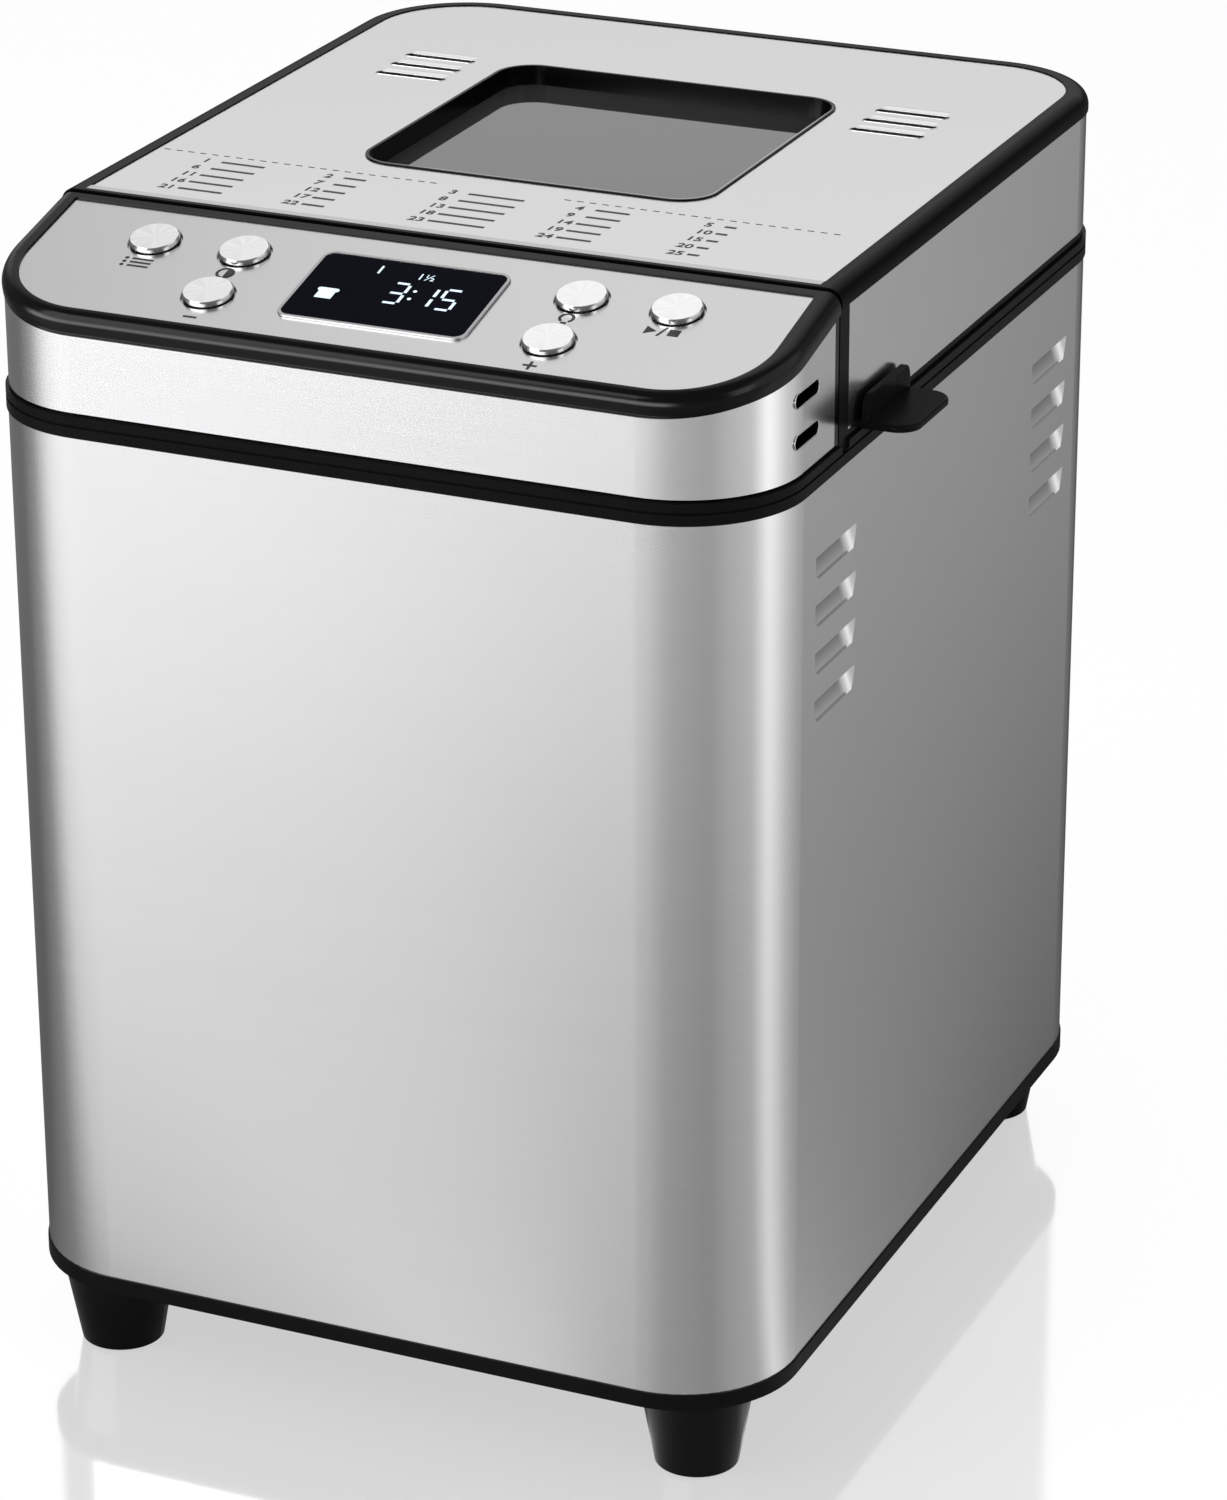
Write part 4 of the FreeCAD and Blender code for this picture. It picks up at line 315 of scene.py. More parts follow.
def louvre_shade(paint):
    """Painted shade in the louvres: rises to 1 at the deep upper edge of each louvre's floor, and stays
    0 on its rear scoop.
    """
    x, y, _ = paint.split(paint.coordinates())
    s = sizes()
    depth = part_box("housing_wrap")[1].x - paint.maths("ABSOLUTE", x)
    along = y - s.louvre_back - paint.maths("SIGN", y) * s.louvre_reach
    deep = paint.edge(depth - s.louvre_lip, LOUVRE_FADE)
    on_floor = paint.edge(s.louvre_floor - along, SCOOP_FADE)
    in_row = paint.edge(along + s.louvre_half, CRISP)
    return deep * on_floor * in_row


def painted_hood_light(paint, base, tone):
    """Paints a highlight where a pressed hood behind each vent slot of the lid would catch the light,
    and a painted shadow line at its crease; the plate itself stays flat.
    """
    x, y, _ = paint.split(paint.coordinates())
    s = sizes()
    behind = y - (s.vent_middle - s.vent_pitch)
    step = paint.maths("MODULO", behind, s.vent_pitch)
    rows = paint.edge(behind, CRISP) * paint.edge(s.vent_pitch * 3 - behind, CRISP)
    aside = paint.maths("ABSOLUTE", paint.maths("ABSOLUTE", x) - s.vent_side)
    here = rows * paint.edge(s.hood_half - aside, SOFT)
    slope = paint.edge(step - s.hood_low, FOOT_FADE) * paint.edge(s.hood_high - step, CREASE_FADE)
    crease = paint.stripe(step - s.hood_high, CRISP, 1.2)
    # Painted highlight on the slope of each hood
    hood_highlight = paint.tint(here * slope * 0.7, base, shade(tone, 1.35))
    # Painted shadow line along the crease of each hood
    return paint.tint(here * crease * 0.5, hood_highlight, shade(tone, 0.45))


def brushed_steel(name, tone, across, rough=0.2, contrast=0.035, grain=0.03, painted_recess_shade=0.0, hood_light=False):
    """Steel with fine scratches; across is the axis that the scratches do not run along. It can carry
    painted shade in the louvres and painted light behind the lid's vent slots.
    """
    paint = Paint(name)
    fine_scale = [14.0] * 3
    fine_scale[across] = 2600.0
    broad_scale = [3.0] * 3
    broad_scale[across] = 260.0
    fine = paint.noise(paint.coordinates(tuple(fine_scale)), 3.0, 0.6)
    broad = paint.noise(paint.coordinates(tuple(broad_scale)), 2.0)
    smear = paint.grain(9)
    lines = fine * 0.6 + broad * 0.4
    base = paint.tint(paint.clamp(lines), shade(tone, 1 - contrast), shade(tone, 1 + contrast))
    # Painted shade in the louvre recesses, darkest at their deep upper edges
    if painted_recess_shade:
        base = paint.tint(louvre_shade(paint) * painted_recess_shade, base, shade(tone, 0.3))
    # Painted highlight and painted shadow line behind the lid's vent slots
    if hood_light:
        base = painted_hood_light(paint, base, tone)
    return paint.finish(
        Base_Color=base,
        Metallic=1.0,
        Roughness=paint.clamp(rough + (fine - 0.5) * 0.05 + (smear - 0.5) * 0.03),
        Normal=paint.bump(fine, grain, SCRATCH),
    )


def spun_metal(name, tone, centre, face):
    """Metal turned on a lathe, with rings about a button's middle, painted fan-shaped highlights across
    its face, and painted shade on the wall round its face.
    """
    paint = Paint(name)
    x, y, _ = paint.split(paint.coordinates(centre=centre, turn=(sizes().slope, 0, 0)))
    radius = paint.maths("SQRT", x * x + y * y)
    angle = paint.maths("ARCTAN2", y, x)
    rings = paint.noise(
        paint.add("ShaderNodeCombineXYZ", None, {0: radius * 6000.0, 1: angle * 0.6}), 2.0
    )
    fan_sheen_and_grain = paint.noise(
        paint.add("ShaderNodeCombineXYZ", None, {0: radius * 60.0, 1: angle * 2.2, 2: 4.0}), 3.0
    )
    # Turning rings, with painted fan-shaped highlights that also roughen the metal unevenly
    turned = paint.clamp(rings * 0.3 + (fan_sheen_and_grain - 0.5) * 1.3 + 0.4)
    metal = paint.tint(turned, shade(tone, 0.86), shade(tone, 1.07))
    # Painted shade on the wall round the face
    wall = paint.edge(radius - face, HAIR)
    base = paint.tint(wall, metal, shade(tone, 0.5))
    return paint.finish(
        Base_Color=base,
        Metallic=1.0,
        Roughness=paint.clamp(0.2 + (fan_sheen_and_grain - 0.5) * 0.16 + (rings - 0.5) * 0.06),
        Normal=paint.bump(rings, 0.12, SCRATCH),
    )


def plain_metal(name, tone, rough, grain=0.1, speck=0.06):
    """Cast, plated or turned metal with a fine grain and slight staining."""
    paint = Paint(name)
    grit = paint.grain(900)
    stain = paint.grain(45, 3.0)
    base = paint.tint(stain, shade(tone, 1 - speck), shade(tone, 1 + speck))
    return paint.finish(
        Base_Color=base,
        Metallic=1.0,
        Roughness=paint.clamp(rough + (stain - 0.5) * 0.12 + (grit - 0.5) * 0.06),
        Normal=paint.bump(grit, grain, GRIT),
    )


def moulded(name, tone, rough, grain=0.12, shine=0.3, size=1400.0):
    """Moulded plastic or rubber: a fine texture, and dull patches where hands have been."""
    paint = Paint(name)
    texture = paint.grain(size)
    touch = paint.grain(28)
    base = paint.tint(texture * 0.4 + touch * 0.6, shade(tone, 0.8), shade(tone, 1.2))
    return paint.finish(
        Base_Color=base,
        Roughness=paint.clamp(rough + (touch - 0.5) * 0.08 + (texture - 0.5) * 0.05),
        Specular_IOR_Level=shine,
        Normal=paint.bump(texture, grain, SCRATCH),
    )


def highlit_black(name, tone):
    """Gloss black round the window, with a painted highlight line at the top of its front and right
    walls.
    """
    paint = Paint(name)
    s = sizes()
    spot = paint.coordinates(centre=WINDOW)
    straight = (s.window_width / 2 - s.window_corner, s.window_depth / 2 - s.window_corner, 1)
    past = paint.vector("SUBTRACT", paint.vector("ABSOLUTE", spot), straight)
    reach = paint.vector("LENGTH", paint.vector("MAXIMUM", past, (0, 0, 0)), out=1)
    inside = s.window_corner - reach
    x, y, _ = paint.split(spot)
    # Painted highlight along the lip's inner edge, only on the front and right sides where the light
    # catches it
    line = paint.stripe(inside - s.window_highlight, HAIR * 2, 1.4) * paint.edge(x - y, WINDOW_FADE)
    mark = paint.grain(28)
    return paint.finish(
        Base_Color=paint.tint(line, tone, (0.75, 0.75, 0.75)),
        Roughness=paint.clamp(0.14 + (mark - 0.5) * 0.06),
        Specular_IOR_Level=0.06,
    )


def lipped_black(name, tone, lip):
    """Black of the lid's rim, with the grey lip along the front of the lid's plate."""
    paint = Paint(name)
    x, y, z = paint.split(paint.coordinates())
    low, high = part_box("lid_plate")
    ahead = low.y - y
    along = paint.edge(high.x - paint.maths("ABSOLUTE", x), CRISP)
    strip = paint.edge(ahead, HAIR) * paint.edge(sizes().lip_width - ahead, CRISP)
    folded = strip * along * paint.edge(z - low.z, CRISP)
    mark = paint.grain(28)
    return paint.finish(
        Base_Color=paint.tint(folded, tone, lip),
        Metallic=folded,
        Roughness=paint.clamp(0.2 + (mark - 0.5) * 0.06),
        Specular_IOR_Level=0.02,
    )


def coated(name, tone):
    """Non-stick coating with pale specks."""
    paint = Paint(name)
    specks = paint.grain(1700, 1.0)
    dots = paint.clamp((specks - 0.63) * 9.0)
    worn = paint.grain(60, 3.0)
    base = paint.tint(dots, tone, shade(tone, 3.2))
    return paint.finish(
        Base_Color=base,
        Roughness=paint.clamp(0.42 + (worn - 0.5) * 0.15),
        Normal=paint.bump(specks, 0.1, GRIT),
    )


def circuit_green(name):
    """Lacquered board with tracks under the lacquer."""
    paint = Paint(name)
    tracks = paint.grain(260, 0.0)
    lines = paint.clamp((paint.maths("PINGPONG", tracks * 9.0, 0.5) - 0.3) * 12.0)
    base = paint.tint(lines, (0.012, 0.075, 0.03), (0.03, 0.16, 0.06))
    return paint.finish(Base_Color=base, Roughness=0.35, Normal=paint.bump(lines, 0.2, GRIT))


def pane(name, tone, clear, shine):
    """Tempered glass with the faintest waviness and dust."""
    paint = Paint(name)
    wave = paint.grain(22, 1.0)
    dust = paint.grain(600)
    return paint.finish(
        Base_Color=tone,
        Roughness=paint.clamp(0.03 + paint.clamp((dust - 0.55) * 2.0) * 0.06),
        IOR=1.45,
        Specular_IOR_Level=shine,
        Transmission_Weight=clear,
        Normal=paint.bump(wave, 0.03, WAVE),
    )


def display_black(name):
    """Dark glass over the display."""
    paint = Paint(name)
    cloud = paint.grain(70)
    base = paint.tint(cloud, (0.0018, 0.0022, 0.0052), (0.0032, 0.0040, 0.0090))
    return paint.finish(
        Base_Color=base,
        Roughness=paint.clamp(0.07 + (cloud - 0.5) * 0.05),
        Specular_IOR_Level=0.008,
    )


def lit(name, tone, strength):
    """A lit part of the display, a little uneven."""
    paint = Paint(name)
    cells = paint.grain(2200, 1.0)
    glow = paint.tint(cells, shade(tone, 0.9), tone)
    return paint.finish(
        Base_Color=(0.02, 0.02, 0.03), Roughness=0.4, Emission_Color=glow, Emission_Strength=strength
    )


def printed(name, tone):
    """Screen-printed ink."""
    paint = Paint(name)
    patchy = paint.grain(900)
    base = paint.tint(patchy, shade(tone, 0.85), shade(tone, 1.25))
    return paint.finish(Base_Color=base, Roughness=paint.clamp(0.5 + (patchy - 0.5) * 0.2))


def dress(material, *nodes):
    """Puts a finish on CAD nodes."""
    for node in nodes:
        for slot in frame["nodes"][node].material_slots:
            slot.material = material


# Meshes


def console_matrix():
    """From the control plate's plane to the machine: X across, Y up the slope, Z off the plate."""
    turn = Matrix.Rotation(sizes().slope, 4, "X")
    return Matrix.Translation(Vector((0, -sizes().plate_rear, CREST))) @ turn


def add_prism(mesh, outline, low, high):
    """Adds an upright prism over a flat outline that runs anticlockwise."""
    lower = [mesh.verts.new((x, y, low)) for x, y in outline]
    upper = [mesh.verts.new((x, y, high)) for x, y in outline]
    mesh.faces.new(upper)
    mesh.faces.new(lower[::-1])
    count = len(outline)
    for i in range(count):
        j = (i + 1) % count
        mesh.faces.new((lower[i], lower[j], upper[j], upper[i]))


def bar(x0, x1, y0, y1):
    return [(x0, y0), (x1, y0), (x1, y1), (x0, y1)]


def disc(x, y, radius, start=0.0, end=math.tau, steps=28):
    """Points round a circle, or round part of it."""
    whole = end - start >= math.tau - 1e-6
    count = steps if whole else steps + 1
    return [
        (
            x + radius * math.cos(start + (end - start) * i / steps),
            y + radius * math.sin(start + (end - start) * i / steps),
        )
        for i in range(count)
    ]


def add_ring(mesh, x, y, radius, stroke, low, high, start=0.0, end=math.tau, steps=28):
    """Adds a flat ring, or part of one, as a row of small prisms."""
    for i in range(steps):
        a = start + (end - start) * i / steps
        b = start + (end - start) * (i + 1) / steps
        inner, outer = radius - stroke / 2, radius + stroke / 2
        corners = [(inner, a), (outer, a), (outer, b), (inner, b)]
        outline = [(x + r * math.cos(t), y + r * math.sin(t)) for r, t in corners]
        add_prism(mesh, outline, low, high)


def make_piece(name, mesh, material, body, matrix=None):
    """Turns a mesh into a piece that rides on a body, with its place in its vertices."""
    if matrix is not None:
        mesh.transform(matrix)
    data = bpy.data.meshes.new(name)
    mesh.to_mesh(data)
    mesh.free()
    data.materials.append(material)
    piece = bpy.data.objects.new(name, data)
    bpy.context.scene.collection.objects.link(piece)
    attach(piece, body)


def add_text(mesh, words, x, y, height, depth, low, bold=0.0):
    """Adds characters as a thin solid that stands on a level."""
    curve = bpy.data.curves.new("characters", "FONT")
    curve.body = words
    curve.size = height / FIGURE_SHARE
    curve.align_y = "CENTER"
    curve.extrude = depth / 2
    curve.offset = bold
    curve.resolution_u = 4
    holder = bpy.data.objects.new("characters", curve)
    bpy.context.scene.collection.objects.link(holder)
    bpy.context.view_layer.update()
    data = bpy.data.meshes.new_from_object(holder.evaluated_get(bpy.context.evaluated_depsgraph_get()))
    data.transform(Matrix.Translation(Vector((x, y, low + depth / 2))))
    mesh.from_mesh(data)
    bpy.data.objects.remove(holder)
    bpy.data.curves.remove(curve)
    bpy.data.meshes.remove(data)


# Geometry node trees


class Tree:
    """A geometry node group under construction."""

    def __init__(self, name, inputs):
        self.group = bpy.data.node_groups.new(name, "GeometryNodeTree")
        for label, kind, default in inputs:
            socket = self.group.interface.new_socket(label, in_out="INPUT", socket_type=kind)
            if default is not None:
                socket.default_value = default
        self.group.interface.new_socket(
            "Geometry", in_out="OUTPUT", socket_type="NodeSocketGeometry"
        )
        self.given = self.group.nodes.new("NodeGroupInput")
        self.result = self.group.nodes.new("NodeGroupOutput")

    def add(self, kind, settings=None, sockets=None):
        node = self.group.nodes.new(kind)
        for key, value in (settings or {}).items():
            setattr(node, key, value)
        for key, value in (sockets or {}).items():
            if isinstance(value, bpy.types.NodeSocket):
                self.group.links.new(value, node.inputs[key])
            else:
                node.inputs[key].default_value = value
        return node.outputs[0]

    def asked(self, label):
        return self.given.outputs[label]

    def row(self):
        """Points in a row, as the group's inputs say."""
        asked = {"Count": "Count", "Start Location": "Start", "Offset": "Pitch"}
        sockets = {key: self.asked(label) for key, label in asked.items()}
        return self.add("GeometryNodeMeshLine", {"mode": "OFFSET"}, sockets)

    def close(self, shape, material):
        real = self.add("GeometryNodeRealizeInstances", None, {0: shape})
        painted = self.add("GeometryNodeSetMaterial", None, {"Geometry": real, "Material": material})
        self.group.links.new(painted, self.result.inputs[0])


def grow(name, group, values, material, body, matrix=None):
    """Evaluates a node group on an empty mesh and keeps the result as a plain piece."""
    holder = bpy.data.objects.new(name + "_seed", bpy.data.meshes.new(name + "_seed"))
    bpy.context.scene.collection.objects.link(holder)
    modifier = holder.modifiers.new("grow", "NODES")
    modifier.node_group = group
    for item in group.interface.items_tree:
        if item.in_out == "INPUT" and item.name in values:
            modifier[item.identifier] = values[item.name]
    bpy.context.view_layer.update()
    made = bpy.data.meshes.new_from_object(holder.evaluated_get(bpy.context.evaluated_depsgraph_get()))
    holder.modifiers.remove(modifier)
    mesh = bmesh.new()
    mesh.from_mesh(made)
    if not mesh.faces:
        raise RuntimeError(f"{name} came out empty")
    bpy.data.meshes.remove(made)
    bpy.data.objects.remove(holder)
    make_piece(name, mesh, material, body, matrix)


def dashed_line_tree(material):
    """A row of short bars along X."""
    tree = Tree(
        "dashed line",
        (
            ("Count", "NodeSocketInt", 10),
            ("Start", "NodeSocketVector", None),
            ("Pitch", "NodeSocketVector", None),
            ("Dash", "NodeSocketVector", None),
        ),
    )
    dash = tree.add("GeometryNodeMeshCube", None, {"Size": tree.asked("Dash")})
    bars = tree.add("GeometryNodeInstanceOnPoints", None, {"Points": tree.row(), "Instance": dash})
    tree.close(bars, material)
    return tree.group


def slot_hem_tree(material):
    """Rolled edges round a row of vent slots."""
    tree = Tree(
        "slot hems",
        (
            ("Count", "NodeSocketInt", 3),
            ("Start", "NodeSocketVector", None),
            ("Pitch", "NodeSocketVector", None),
            ("Length", "NodeSocketFloat", 0.02),
            ("Width", "NodeSocketFloat", 0.003),
            ("Round", "NodeSocketFloat", 0.0014),
            ("Hem", "NodeSocketFloat", 0.0002),
        ),
    )
    frame_curve = tree.add(
        "GeometryNodeCurvePrimitiveQuadrilateral",
        None,
        {"Width": tree.asked("Length"), "Height": tree.asked("Width")},
    )
    eased = tree.add(
        "GeometryNodeFilletCurve",
        {"mode": "POLY"},
        {"Curve": frame_curve, "Count": 8, "Radius": tree.asked("Round")},
    )
    section = tree.add(
        "GeometryNodeCurvePrimitiveCircle", None, {"Resolution": 8, "Radius": tree.asked("Hem")}
    )
    tube = tree.add("GeometryNodeCurveToMesh", None, {"Curve": eased, "Profile Curve": section})
    hems = tree.add("GeometryNodeInstanceOnPoints", None, {"Points": tree.row(), "Instance": tube})
    tree.close(hems, material)
    return tree.group


# Operators


class BREAD_OT_case_steel(bpy.types.Operator):
    """Brushed steel on the case, the console and the lid"""

    bl_idname = "bread_machine.case_steel"
    bl_label = "Steel of the case"

    def execute(self, context):
        tone = colours().steel
        # The wrap carries painted shade in its louvres
        dress(brushed_steel("wrap_steel", tone, across=2, painted_recess_shade=0.8), "housing_wrap")
        # The console's and lid's bands are lit copies of the case steel, painted brighter to match the
        # light they catch
        console = brushed_steel("console_band_steel", shade(tone, 1.07), across=2, rough=0.19)
        dress(console, "console_skin")
        dress(brushed_steel("lid_band_steel", shade(tone, 1.10), across=2, rough=0.19), "lid_skin")
        plate = colours().plate
        fine = {"across": 1, "grain": 0.01}
        lid = brushed_steel("lid_plate_steel", plate, rough=0.24, contrast=0.012, hood_light=True, **fine)
        dress(lid, "lid_plate")
        # The control plate is a shaded copy of the plate steel, painted darker for the light on its
        # slope
        front = shade(plate, 0.90)
        control = brushed_steel("control_plate_steel", front, rough=0.22, contrast=0.02, **fine)
        dress(control, "control_plate")
        return {"FINISHED"}


class BREAD_OT_button_caps(bpy.types.Operator):
    """Spun metal on each button"""

    bl_idname = "bread_machine.button_caps"
    bl_label = "Button caps"

    def execute(self, context):
        place = console_matrix()
        flat = place.inverted()
        for node in ("program", "colour", "minus", "light", "plus", "start"):
            corners = [flat @ v.co for v in frame["nodes"][f"button_{node}"].data.vertices]
            x = (min(c.x for c in corners) + max(c.x for c in corners)) / 2
            y = (min(c.y for c in corners) + max(c.y for c in corners)) / 2
            centre = tuple(place @ Vector((x, y, 0)))
            cap = spun_metal(f"spun_cap_{node}", colours().button, centre, sizes().button_face)
            dress(cap, f"button_{node}")
        return {"FINISHED"}


class BREAD_OT_mouldings(bpy.types.Operator):
    """Black plastic of the rims, collar, lid, base and feet"""

    bl_idname = "bread_machine.mouldings"
    bl_label = "Black mouldings"

    def execute(self, context):
        gloss = moulded("gloss_black", colours().gloss, 0.16, grain=0.01, shine=0.18)
        dress(gloss, "console_frame", "feet")
        dress(lipped_black("rim_black", colours().gloss, colours().lip), "lid_rim")
        dress(highlit_black("window_black", colours().gloss), "window_bezel")
        satin = moulded("satin_black", colours().satin, 0.3, grain=0.05, shine=0.03)
        dress(satin, "base_tray", "collar", "lid_frame", "lid_handle")
        rubber = moulded("black_rubber", (0.02, 0.02, 0.02), 0.7, grain=0.3, size=900.0)
        dress(rubber, "foot_pads", "cord_gland", "lid_seal", "drive_belt")
        return {"FINISHED"}


class BREAD_OT_glazing(bpy.types.Operator):
    """Window panes, display glass and the bright trim"""

    bl_idname = "bread_machine.glazing"
    bl_label = "Glass and trim"

    def execute(self, context):
        dress(pane("outer_pane", (0.06, 0.06, 0.06), 0.3, 0.9), "window_glass")
        dress(pane("inner_pane", (0.92, 0.93, 0.93), 1.0, 0.25), "inner_glass")
        dress(display_black("display_glass"), "display_lens")
        dress(plain_metal("polished_wire", (0.74, 0.74, 0.75), 0.14, grain=0.02), "bail_handle")
        dress(plain_metal("satin_trim", (0.5, 0.5, 0.51), 0.4, grain=0.02), "display_bezel")
        return {"FINISHED"}


class BREAD_OT_inside(bpy.types.Operator):
    """Oven, drive and electrics"""

    bl_idname = "bread_machine.inside"
    bl_label = "Inner parts"

    def execute(self, context):
        oven = plain_metal("oven_sheet", (0.55, 0.55, 0.55), 0.42, speck=0.12)
        dress(oven, "oven_chamber", "lid_liner", "chassis_plate")
        screws = plain_metal("plated_screws", (0.6, 0.6, 0.6), 0.3)
        dress(screws, "foot_screws", "deck_screws", "chassis_screws", "lid_screws", "hinge_pins")
        cast = plain_metal("cast_alloy", (0.56, 0.56, 0.57), 0.45, grain=0.3)
        dress(cast, "pan_socket", "pan_base", "drive_coupler", "wing_coupling")
        shafts = plain_metal("ground_steel", (0.6, 0.6, 0.61), 0.22)
        dress(shafts, "drive_shaft", "pan_shaft", "motor_pulley")
        dress(plain_metal("bearing_bronze", (0.66, 0.47, 0.24), 0.35), "drive_bearing", "pan_bearing")
        sheath = plain_metal("element_sheath", (0.16, 0.15, 0.15), 0.5, speck=0.2)
        dress(sheath, "heating_element", "temperature_sensor")
        dress(coated("pan_coating", colours().coating), "bread_pan", "kneading_paddle")
        dress(moulded("motor_paint", (0.20, 0.21, 0.22), 0.45), "motor")
        dress(moulded("pale_moulding", (0.62, 0.61, 0.57), 0.5), "drive_pulley")
        dress(moulded("ceramic", (0.75, 0.73, 0.68), 0.6), "element_bushings")
        dress(moulded("lamp_opal", (0.80, 0.79, 0.74), 0.25), "chamber_lamp")
        parts = moulded("component_black", (0.03, 0.03, 0.035), 0.45)
        dress(parts, "run_capacitor", "power_components", "tact_switches", "lcd_module", "thermal_fuse")
        dress(circuit_green("circuit_board"), "power_board", "control_board")
        return {"FINISHED"}


class BREAD_OT_program_numbers(bpy.types.Operator):
    """Printed numbers and the dashed line on the lid"""

    bl_idname = "bread_machine.program_numbers"
    bl_label = "Program numbers"

    # Both runs of the printed line, left and right of a gap in the middle
    RUNS = {"left": (-0.1012, -0.0209), "right": (0.0168, 0.0954)}

    def execute(self, context):
        s = sizes()
        ink = printed("lid_ink", colours().ink)
        mesh = bmesh.new()
        for row in range(s.rows):
            for column in range(s.columns):
                number = row * s.columns + column + 1
                x = s.number_left + s.number_pitch * column
                y = s.number_rear - s.row_pitch * row
                add_text(mesh, f"{number}", x, y, s.number_height, s.ink, LID_TOP, s.number_bold)
                end = x + s.number_room + s.line_step * (1 + number * 3 % 5)
                line = bar(x + s.number_room, end, y - s.line_width / 2, y + s.line_width / 2)
                add_prism(mesh, line, LID_TOP, LID_TOP + s.ink)
        make_piece("program_numbers", mesh, ink, "lid")
        tree = dashed_line_tree(ink)
        for name, (start, end) in self.RUNS.items():
            values = {
                "Count": int((end - start) / s.dash_pitch) + 1,
                "Start": (start, s.dash_row, LID_TOP + s.ink / 2),
                "Pitch": (s.dash_pitch, 0, 0),
                "Dash": (s.dash, s.dash_width, s.ink),
            }
            grow(f"dashed_line_{name}", tree, values, ink, "lid")
        return {"FINISHED"}


class BREAD_OT_button_marks(bpy.types.Operator):
    """Plain signs printed beside the buttons"""

    bl_idname = "bread_machine.button_marks"
    bl_label = "Button signs"

    # Where the signs are, across the control plate and up its slope; half the width of the plus
    LIST = (-0.0768, -0.0240)
    HALF = (-0.0479, -0.0251)
    MINUS = (-0.0472, -0.0469)
    PLUS = (0.0473, -0.0473)
    BULB = (0.0473, -0.0243)
    START = (0.0734, -0.0246)
    ARM = 0.0019

    def execute(self, context):
        mesh = bmesh.new()
        self.add_list(mesh, *self.LIST)
        self.add_half(mesh, *self.HALF)
        self.add_arms(mesh, *self.MINUS)
        self.add_arms(mesh, *self.PLUS, upright=True)
        self.add_bulb(mesh, *self.BULB)
        self.add_start(mesh, *self.START)
        ink = printed("plate_ink", colours().ink)
        make_piece("button_signs", mesh, ink, "housing", console_matrix())
        return {"FINISHED"}

    def mark(self, mesh, outline):
        add_prism(mesh, outline, 0.0, sizes().ink)

    def ring(self, mesh, x, y, radius, start=0.0, end=math.tau):
        add_ring(mesh, x, y, radius, sizes().sign_line, 0.0, sizes().ink, start, end)

    def add_list(self, mesh, x, y):
        """Three lines, each after a dot."""
        line = sizes().sign_line
        for step in range(3):
            level = y - 0.0017 * step
            self.mark(mesh, disc(x, level, 0.0006, steps=10))
            self.mark(mesh, bar(x + 0.0016, x + 0.0076, level - line / 2, level + line / 2))

    def add_half(self, mesh, x, y):
        """A ring with one half filled."""
        radius = 0.0022
        self.ring(mesh, x, y, radius)
        self.mark(mesh, disc(x, y, radius, -math.pi / 2, math.pi / 2, steps=14))

    def add_arms(self, mesh, x, y, upright=False):
        """A minus, or a plus where it has upright arms too."""
        half = sizes().sign_line / 2
        self.mark(mesh, bar(x - self.ARM, x + self.ARM, y - half, y + half))
        if upright:
            for low, high in ((y - self.ARM, y - half), (y + half, y + self.ARM)):
                self.mark(mesh, bar(x - half, x + half, low, high))

    def add_bulb(self, mesh, x, y):
        """A lamp: a round bulb over its cap."""
        self.ring(mesh, x, y, 0.0018, math.radians(-60), math.radians(240))
        for step in range(2):
            level = y - 0.0019 - 0.0011 * step
            self.mark(mesh, bar(x - 0.0008, x + 0.0008, level - sizes().sign_line, level))

    def add_start(self, mesh, x, y):
        """A triangle and a square with a stroke between them."""
        self.mark(mesh, [(x - 0.0047, y - 0.0018), (x - 0.0016, y), (x - 0.0047, y + 0.0018)])
        stroke = [(-0.0012, -0.0021), (-0.0005, -0.0021), (0.0009, 0.0021), (0.0002, 0.0021)]
        self.mark(mesh, [(x + dx, y + dy) for dx, dy in stroke])
        self.mark(mesh, bar(x + 0.0016, x + 0.0046, y - 0.0015, y + 0.0015))


